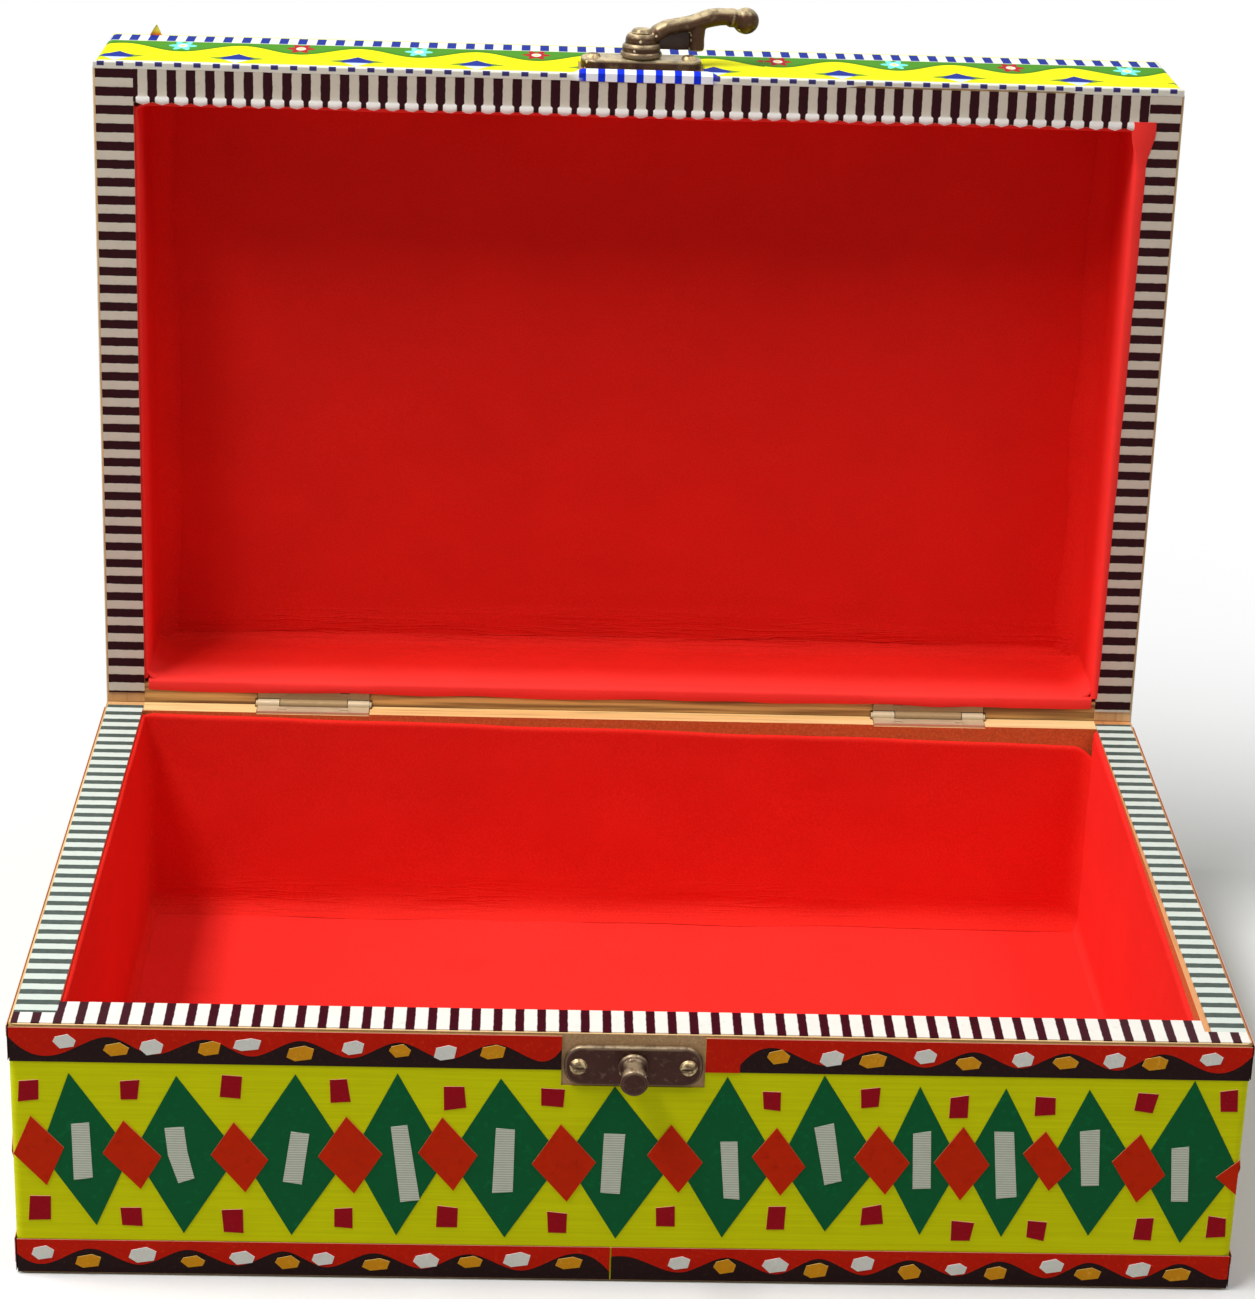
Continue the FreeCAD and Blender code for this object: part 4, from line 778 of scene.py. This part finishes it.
def make_lipped_tape(look):
    """The lid's front rim tape, whose inner edge rolls over the rim in a small lip that is painted white as a
    highlight.
    """
    highest_lip, flat_from, flat_to = 0.26, 74, 113
    profile = [
        (1.25, 0), (1.8, 0), (4.5, 0), (6.4, 0), (6.9, 0.04), (7.4, 0.12), (7.9, 0.2), (8.4, 0.23),
        (8.9, 0.2), (9.25, -0.05), (9.3, -0.5),
    ]

    def section(x):
        """Each pale stripe ends in a rounded toe, and the lip is lower towards the right."""
        toe = 0.35 * math.cos(2 * math.pi * (x - LIP_CENTRE) / LIP_PITCH) + 0.25 * ripple(x / 30, 2.3, 0.7)
        fade = 1 - 0.7 * unit((x - flat_from) / 12) * unit((flat_to - x) / 3)
        uneven = 1 + 0.25 * ripple(x / 7, 0.3, 1.1)
        edges = [across + toe * max(0, (across - 7.4) / 1.9) for across, _ in profile]
        rises = [min(rise * fade * uneven, highest_lip) if rise > 0 else rise for _, rise in profile]
        return list(zip(edges, rises))

    def place(x, across, rise):
        return Vector((x, across - HALF_DEPTH, LID_RIM - TAPE - rise))

    backing = [(-TAPE if across > 8.6 else 0, -TAPE) for across, _ in profile]
    sheet = strip(between(-INNER_X, RIGHT_TAPE, 1.1), section, place, backing)
    piece("lid_front_lipped_tape", *sheet, look, "lid", "striped_tape", ("lid_front_rim_tape",))


def make_corner_tapes(left, right):
    """The lid's side tapes run on to the front edge in the two corners."""
    along = between(1.25 - HALF_DEPTH, 4.5 - HALF_DEPTH, 0.8)

    def place(y, x, rise):
        return Vector((x, y, LID_RIM + rise))

    for name, side, inner, look in (("left", -1, INNER_X, left), ("right", 1, RIGHT_TAPE, right)):
        across = between(*sorted((side * inner, side * (HALF_WIDTH - TAPE_INSET))), 1.2)
        flat = [(x, -TAPE) for x in across]
        sheet = strip(along, lambda y: flat, place, [(0, TAPE)] * len(flat))
        piece(f"lid_{name}_corner_tape", *sheet, look, "lid", "striped_tape")


def make_turned_tape(look):
    """The printed tape's dashed border, turned over the rim and raised under the hook's plate."""
    raised_half, bare_middle, bare_half = 17.5, 74, 27.5

    def section(x):
        """Points out of the front and up from the rim."""
        raised = eased((raised_half - abs(x - PLATE_MIDDLE)) / 3)
        bare = unit((bare_half - abs(x - bare_middle)) / 4)
        end = -1.32 + 0.5 * bare + 0.1 * ripple(x / 9, 4.4, 0.1)
        flat = [(0.3, 0.5), (0.36, 0.2), (0.34, -0.1), (0.12, -0.27), (-0.3, -0.28)]
        flat += [(end + 0.1, -0.28), (end, -0.2)]
        stood = [(0.3, 4.6), (0.75, 3.6), (1.15, 2.2), (1.1, 0.7), (0.5, -0.3)]
        stood += [(end + 0.1, -0.4), (end, -0.28)]
        return [Vector(a).lerp(Vector(b), raised) for a, b in zip(flat, stood)]

    def place(x, out, up):
        return Vector((x, -HALF_DEPTH - out, LID_RIM + up))

    sheet = strip(between(-HALF_WIDTH, HALF_WIDTH, 1.25), section, place, [(-0.04, 0.06)] * 7)
    piece("lid_turned_tape", *sheet, look, "lid", "printed_tape")


def make_loose_tip():
    """The tip of a sticker on the lid's top that stands out past its front edge."""
    look = Look("sticker tip", lid=True)
    out = look.minus(-HALF_DEPTH, look.millimetres()[1])
    tone = look.mix(look.span(out, 0.2, 1.6), (226, 110, 16), (222, 208, 70))
    bump = (look.cloud(1200, 3), 0.05, 0.5)
    paint = look.made(look.toned(tone, 900, 0.3), 0.5, bump, shine=0.05)
    root = Vector((-114.5, 1.5 - HALF_DEPTH, 91))
    length, half_width, thick = 4.2, 1.8, 0.15

    def section(share):
        half = half_width * (1 - share**1.6) + 0.05
        curl = 0.5 * share * share
        return [(half * n + 0.3 * share, curl + 0.25 * (1 - n**2)) for n in between(-1, 1, 1 / 3)]

    def place(share, across, rise):
        return root + Vector((across, -length * share, rise))

    sheet = strip(between(0, 1, 0.1), section, place, [(0, thick)] * 7)
    piece("lid_sticker_tip", *sheet, paint, "lid", "orange_vinyl", sharp=50)


# Cast latch pieces


def circle(turns):
    angles = [2 * math.pi * n / turns for n in range(turns)]
    return [(math.cos(angle), math.sin(angle)) for angle in angles]


def skin(work, rings, closed=False):
    """Joins rings of points into a tube, with flat ends unless it closes on itself."""
    for first, second in zip(rings, rings[1:] + (rings[:1] if closed else [])):
        for n in range(len(first)):
            after = (n + 1) % len(first)
            work.faces.new((first[n], first[after], second[after], second[n]))
    if not closed:
        work.faces.new(rings[0][::-1])
        work.faces.new(rings[-1])


def lathe(work, profile, closed=False):
    """A turned shape about Z; a closed profile leaves a hole."""
    ring = circle(56)
    rings = [[work.verts.new((radius * a, radius * b, z)) for a, b in ring] for radius, z in profile]
    skin(work, rings, closed)


def limb(work, stations):
    """A bar along local X and Z with an oval section that changes on its way."""
    rings = []
    for n, (x, z, half_width, half_height) in enumerate(stations):
        before, after = stations[max(n - 1, 0)], stations[min(n + 1, len(stations) - 1)]
        ahead = Vector((after[0] - before[0], 0, after[1] - before[1])).normalized()
        upward = Vector((-ahead.z, 0, ahead.x))
        middle = Vector((x, 0, z))
        ring = [middle + Y * half_width * a + upward * half_height * b for a, b in circle(20)]
        rings.append([work.verts.new(point) for point in ring])
    skin(work, rings)


def cast(name, work, voxel, smooth, stand, look, body, stands_for=()):
    """Melts the shapes in a mesh into one casting with softened edges, and puts it where it stands."""
    rough = bpy.data.meshes.new(name + "_rough")
    bmesh.ops.recalc_face_normals(work, faces=work.faces)
    work.to_mesh(rough)
    work.free()
    holder = new_object(name + "_rough", rough)
    melt = holder.modifiers.new("melt", "REMESH")
    melt.mode, melt.voxel_size = "VOXEL", voxel
    soften = holder.modifiers.new("soften", "SMOOTH")
    soften.factor, soften.iterations = 0.5, smooth
    seen = holder.evaluated_get(bpy.context.evaluated_depsgraph_get())
    mesh = bpy.data.meshes.new_from_object(seen)
    bpy.data.objects.remove(holder)
    bpy.data.meshes.remove(rough)
    mesh.transform(stand)
    finished(name, mesh, look, body, "bronze", stands_for, sharp=80)


def front_frame(plate, lid=False, angle=0):
    """From local X along the front and Z out of it to a plate's middle, turned by an angle from level."""
    low, high = reach(plate, lid)
    facing = Matrix.Rotation(-math.radians(angle), 4, "Y") @ Matrix.Rotation(math.radians(90), 4, "X")
    return Matrix.Translation((0, -HALF_DEPTH, (low.z + high.z) / 2)) @ facing


def make_hook(look, shade_web_look):
    """A turned collar, an arm with a knob, a tooth that goes behind the post, and a web inside, painted dark
    as the shade under the arm.
    """
    hook_angle = 12
    stand = TO_METRES @ OPENED @ front_frame("hook_plate", True, hook_angle)
    work = bmesh.new()
    lathe(work, [
        (1.5, 2.6), (4.5, 2.6), (4.9, 3.1), (4.8, 3.7), (4.3, 4.05), (4.45, 4.5), (4.45, 5.2), (4.05, 5.7),
        (3.7, 5.95), (3.8, 6.5), (3.6, 7.3), (3, 8.1), (1.5, 8.15),
    ], closed=True)
    limb(work, [
        (2.2, 6.6, 2, 1.7), (3.8, 8.2, 2.5, 1.9), (5.8, 9.3, 2.6, 1.8), (8.5, 9.8, 2.5, 1.7),
        (11.5, 10.2, 2.5, 1.8), (14, 10.8, 2.55, 2), (16.2, 11.4, 2.5, 2.15), (18.4, 11.65, 2.4, 2.05),
        (20.2, 11.6, 2.3, 1.95), (21.2, 11.4, 2.7, 2.3), (22.2, 11.2, 2.4, 2.1), (23.5, 10.9, 2.5, 2.3),
        (24.6, 10.7, 2.5, 2.4),
    ])
    limb(work, [
        (12.9, 10.4, 2.4, 2.4), (13, 8.6, 2.3, 2.1), (13, 6.6, 2.2, 1.9), (13, 5, 2.25, 1.95),
        (13, 3.9, 2.2, 1.8),
    ])
    knob = Matrix.Translation((24.75, 0, 10.6))
    bmesh.ops.create_icosphere(work, subdivisions=4, radius=3.1, matrix=knob)
    cast("latch_hook_cast", work, 0.2, 4, stand, look, "hook", ("latch_hook",))
    # Painted shade: the web under the arm is painted dark, standing in for the shade there.
    work = bmesh.new()
    limb(work, [(3.6, 6.5, 0.7, 2.2), (8, 6.5, 0.6, 2.5), (12, 6.5, 0.7, 2.5)])
    cast("latch_hook_shade_web", work, 0.25, 3, stand, shade_web_look, "hook")


def make_post(look):
    work = bmesh.new()
    lathe(work, [
        (0.05, 1.2), (3.15, 1.2), (3.2, 1.6), (2.95, 2), (2.5, 2.3), (2.4, 2.9), (2.38, 4.6), (2.5, 5.3),
        (2.85, 5.8), (2.95, 6.4), (2.93, 7.2), (2.75, 7.7), (2.3, 8), (1.2, 8.08), (0.05, 8.1),
    ])
    stand = TO_METRES @ front_frame("catch_plate")
    cast("catch_post_cast", work, 0.16, 3, stand, look, "base", ("catch_post",))


def recast(node, body, look):
    """A CAD piece as a casting, its edges softened."""
    work = bmesh.new()
    work.from_mesh(NODES[node].data)
    work.transform(Matrix.Scale(1 / MM, 4))
    bmesh.ops.remove_doubles(work, verts=work.verts, dist=0.002)
    cast(node + "_cast", work, 0.2, 3, TO_METRES, look, body, (node,))


def make_latch():
    # Painted highlight: both bronzes are painted bright on the side that faces up in the open box; their
    # crevices are darker, from patina and painted shade.
    dark = metal(
        "dark bronze", (62, 36, 30), (190, 168, 134), 0.36, 0.5, 0.7, 700,
        lit_side=(0, -0.1, 1), crevice=(30, 16, 12), shine=0.15,
    )
    worn = metal(
        "worn bronze with painted highlights", (70, 46, 31), (226, 206, 162), 0.34, 0.5, 0.85, 420, lid=True,
        lit_side=(0, -1, 0.1), crevice=(30, 18, 12), shine=0.15,
    )
    # Painted shade for the web under the hook's arm.
    shade_web_look = metal("dark web, painted shade", (54, 36, 28), (80, 60, 46), 0.6, 0.2, 0.4, 500, lid=True)
    make_hook(worn, shade_web_look)
    make_post(dark)
    recast("catch_plate", "base", dark)
    recast("hook_plate", "lid", worn)
    recast("hook_rivet", "lid", worn)


# Looks of the CAD nodes that stay


def dress(look, *names):
    for name in names:
        made = NODES[name].data.materials
        made.clear()
        made.append(look)


# Each sticker's node without its body, its vinyl's name, its tone, its lighter marks and the rest
STICKERS = (
    ("border_strips", "black", (34, 14, 14), (60, 34, 30), {}),
    ("wave_strips", "red", (208, 26, 2), (226, 56, 18), {"pale": (255, 190, 170)}),
    ("green_diamonds", "green", (4, 93, 48), (16, 110, 60), {"grain": 700}),
    ("orange_diamonds", "orange", (212, 41, 0), (186, 32, 0),
     {"pale": (255, 160, 120), "grain": 420, "depth": 0.12}),
    ("maroon_squares", "maroon", (163, 5, 26), (186, 22, 40), {"pale": (255, 200, 190)}),
    ("silver_pebbles", "silver", (238, 238, 230), (255, 255, 250),
     {"pale": (255, 255, 255), "shine": 0.34}),
)


def dress_stickers():
    for body, of, lid in (("base", "", False), ("lid", " of the lid", True)):
        dress(yellow_foil("yellow foil" + of, lid), "lid_top_foil" if lid else "base_wrap_foil")
        dress(ribbed_silver("ribbed silver" + of, lid), f"{body}_silver_bars")
        for sticker, name, tone, light, more in STICKERS:
            dress(vinyl(f"{name} vinyl{of}", lid, tone, light, **more), f"{body}_{sticker}")
    gold = vinyl("gold vinyl", False, (228, 154, 22), (244, 182, 62), pale=(255, 226, 150), shine=0.34)
    dress(gold, "base_gold_pebbles")


def dress_wood():
    window = {"board": (0, -1, 0), "brown": (176, 138, 94), "flecks": (214, 178, 128)}
    dress(timber("wood with a brown front", ALONG_X, **window), "base_front_panel")
    dress(timber("wood, fibres along the side", ALONG_Y), "base_left_panel")
    inner_side = timber(
        "wood with a brown inner side", ALONG_Y, board=(-1, 0, 0), pale=(216, 152, 96), deep=(190, 120, 66),
        brown=(190, 112, 60), flecks=(220, 160, 100),
    )
    dress(inner_side, "base_right_panel")
    inner_face = timber(
        "wood with a brown inner face", ALONG_X, board=(0, -1, 0), pale=(246, 212, 150), deep=(232, 186, 118),
    )
    dress(inner_face, "base_back_panel")
    dress(pressed_board("pressed board"), "base_bottom_panel")
    dress(timber("wood of the lid with a brown front", ALONG_X, lid=True, **window), "lid_front_rail")
    golden = timber(
        "golden wood of the lid", ALONG_X, lid=True, pale=(222, 174, 104), deep=(112, 72, 30), lines=0.5,
    )
    dress(golden, "lid_back_rail", "lid_top_panel")
    lid_side = timber("wood of the lid, fibres along the side", ALONG_Y, lid=True)
    dress(lid_side, "lid_left_rail", "lid_right_rail")


def dress_tapes():
    dress(printed_tape("printed tape"), "lid_side_tape")
    bright = {"share": 0.41, "pale": (231, 229, 220), "dark": (56, 10, 22)}
    dress(striped_tape("base front", ALONG_X, 4.395, 1.11, **bright), "base_front_rim_tape")
    # Painted sheen: the base's side tapes are tinted grey-green, their dark stripes most, standing in for the
    # glare of the lamps on them.
    painted_light = {"pale": (208, 218, 208), "dark": (74, 86, 80)}
    dress(striped_tape("base left", ALONG_Y, 4.27, 2.83, **painted_light), "base_left_rim_tape")
    dress(striped_tape("base right", ALONG_Y, 4.205, 0.26, **painted_light), "base_right_rim_tape")
    shaded = {"lid": True, "share": 0.5, "pale": (210, 203, 186)}
    left = striped_tape("lid left", ALONG_Y, 4.24, 0.3, **shaded)
    right = striped_tape("lid right", ALONG_Y, 4.24, 2.27, **shaded)
    dress(left, "lid_left_rim_tape")
    dress(right, "lid_right_rim_tape")
    make_corner_tapes(left, right)
    front = striped_tape("lid front", ALONG_X, LIP_PITCH, LIP_CENTRE, lip=True, **shaded)
    make_lipped_tape(front)
    make_turned_tape(dashed_edge("dashed tape border"))


def dress_fittings():
    steel = metal("steel", (168, 142, 104), (220, 204, 172), 0.5, 0.3, 0.6, 700, shine=0.2)
    dress(steel, "left_hinge_base_leaf", "right_hinge_base_leaf", "hinge_pins", "hinge_base_screws")
    dress(steel, "base_panel_pins", "lid_panel_pins")
    dull = metal("dull steel", (122, 92, 58), (182, 156, 114), 0.55, 0.3, 0.6, 600, lid=True, shine=0.2)
    dress(dull, "left_hinge_lid_leaf", "right_hinge_lid_leaf", "hinge_lid_screws")
    dress(screw_metal("brass screws", "catch_screws"), "catch_screws")
    dress(screw_metal("brass screws of the lid", "hook_plate_screws", lid=True), "hook_plate_screws")


# Camera and studio, in metres


def make_camera():
    """The camera stands where the photograph was taken from."""
    place = (-0.022354, -0.668735, 0.395091)
    right = Vector((0.9991406, -0.02482412, 0.03319384))
    upward = Vector((-0.02189179, 0.36397923, 0.93114976))
    data = bpy.data.cameras.new("camera")
    camera = new_object("camera", data)
    turn = Matrix((right, upward, right.cross(upward))).transposed().to_4x4()
    camera.matrix_world = Matrix.Translation(place) @ turn
    data.sensor_width = 36
    data.lens = 92.65
    data.shift_x = -0.0187
    data.shift_y = -0.0883
    data.clip_start, data.clip_end = 0.01, 50
    bpy.context.scene.camera = camera


def lamp(name, place, width, length, power):
    """A soft rectangular lamp that looks at the box, its length towards the back."""
    box_middle = Vector((0, 0, 0.06))
    light = bpy.data.lights.new(name, "AREA")
    light.shape, light.size, light.size_y, light.energy = "RECTANGLE", width, length, power
    made = new_object(name, light)
    away = (Vector(place) - box_middle).normalized()
    across = Y.cross(away).normalized()
    turn = Matrix((across, away.cross(across), away)).transposed().to_4x4()
    made.matrix_world = Matrix.Translation(place) @ turn


def seen_ray(nodes):
    """One for what the camera sees, straight or in metal and glass."""
    path = nodes.add("ShaderNodeLightPath").outputs
    mirrored = nodes.larger(path["Is Glossy Ray"], path["Is Transmission Ray"])
    return nodes.larger(path["Is Camera Ray"], mirrored)


def floor_look():
    """Pale where the box stands, so that its shadow shows, and plain white further out."""
    shadow_to, white_from = 0.17, 0.42
    white, seen_floor, lit_floor = (1, 1, 1, 1), (0.9, 0.9, 0.9, 1), (0.42, 0.41, 0.39, 1)
    look = Look("studio floor")
    level = look.add("ShaderNodeVectorMath", {0: look.stretched(1, 1, 0)}, operation="LENGTH")
    seen = seen_ray(look)
    glow = look.add("ShaderNodeEmission", {"Color": white, "Strength": 1})
    shown = look.mix(seen, lit_floor, seen_floor)
    look.made(look.toned(shown, 8, 0.01), 0.9, shine=0)
    share = look.times(look.span(level.outputs["Value"], shadow_to, white_from), seen)
    blend = look.add("ShaderNodeMixShader", {0: share, 1: look.shader.outputs[0], 2: glow.outputs[0]})
    look.feed(look.tree.nodes["Material Output"].inputs["Surface"], blend.outputs[0])
    return look.material


def make_studio():
    """A white floor that keeps the box's shadow, soft light from above, and an even white surround."""
    lamp("left lamp", (-0.5, -0.19, 1.2), 0.24, 0.8, 13.5)
    lamp("right lamp", (0.62, -0.17, 1.2), 0.3, 0.8, 4.2)
    lamp("low lamp", (-1.1, -0.02, 0.9), 0.4, 0.4, 4.5)
    surround_light, floor_drop = 0.215, 0.0002
    mesh = bpy.data.meshes.new("studio_floor")
    work = bmesh.new()
    bmesh.ops.create_grid(work, x_segments=8, y_segments=8, size=12)
    work.to_mesh(mesh)
    work.free()
    floor = new_object("studio_floor", mesh)
    floor.location.z = -floor_drop
    floor.data.materials.append(floor_look())
    world = bpy.data.worlds.new("surround")
    bpy.context.scene.world = world
    world.use_nodes = True
    nodes = Nodes(world.node_tree)
    background = world.node_tree.nodes["Background"]
    nodes.feed(background.inputs["Color"], (1, 1, 1, 1))
    nodes.feed(background.inputs["Strength"], nodes.larger(seen_ray(nodes), surround_light))
    bpy.context.scene.view_settings.view_transform = "Standard"


dress_stickers()
dress_wood()
dress_tapes()
dress_fittings()
make_linings()
make_loose_tip()
make_latch()
make_camera()
make_studio()
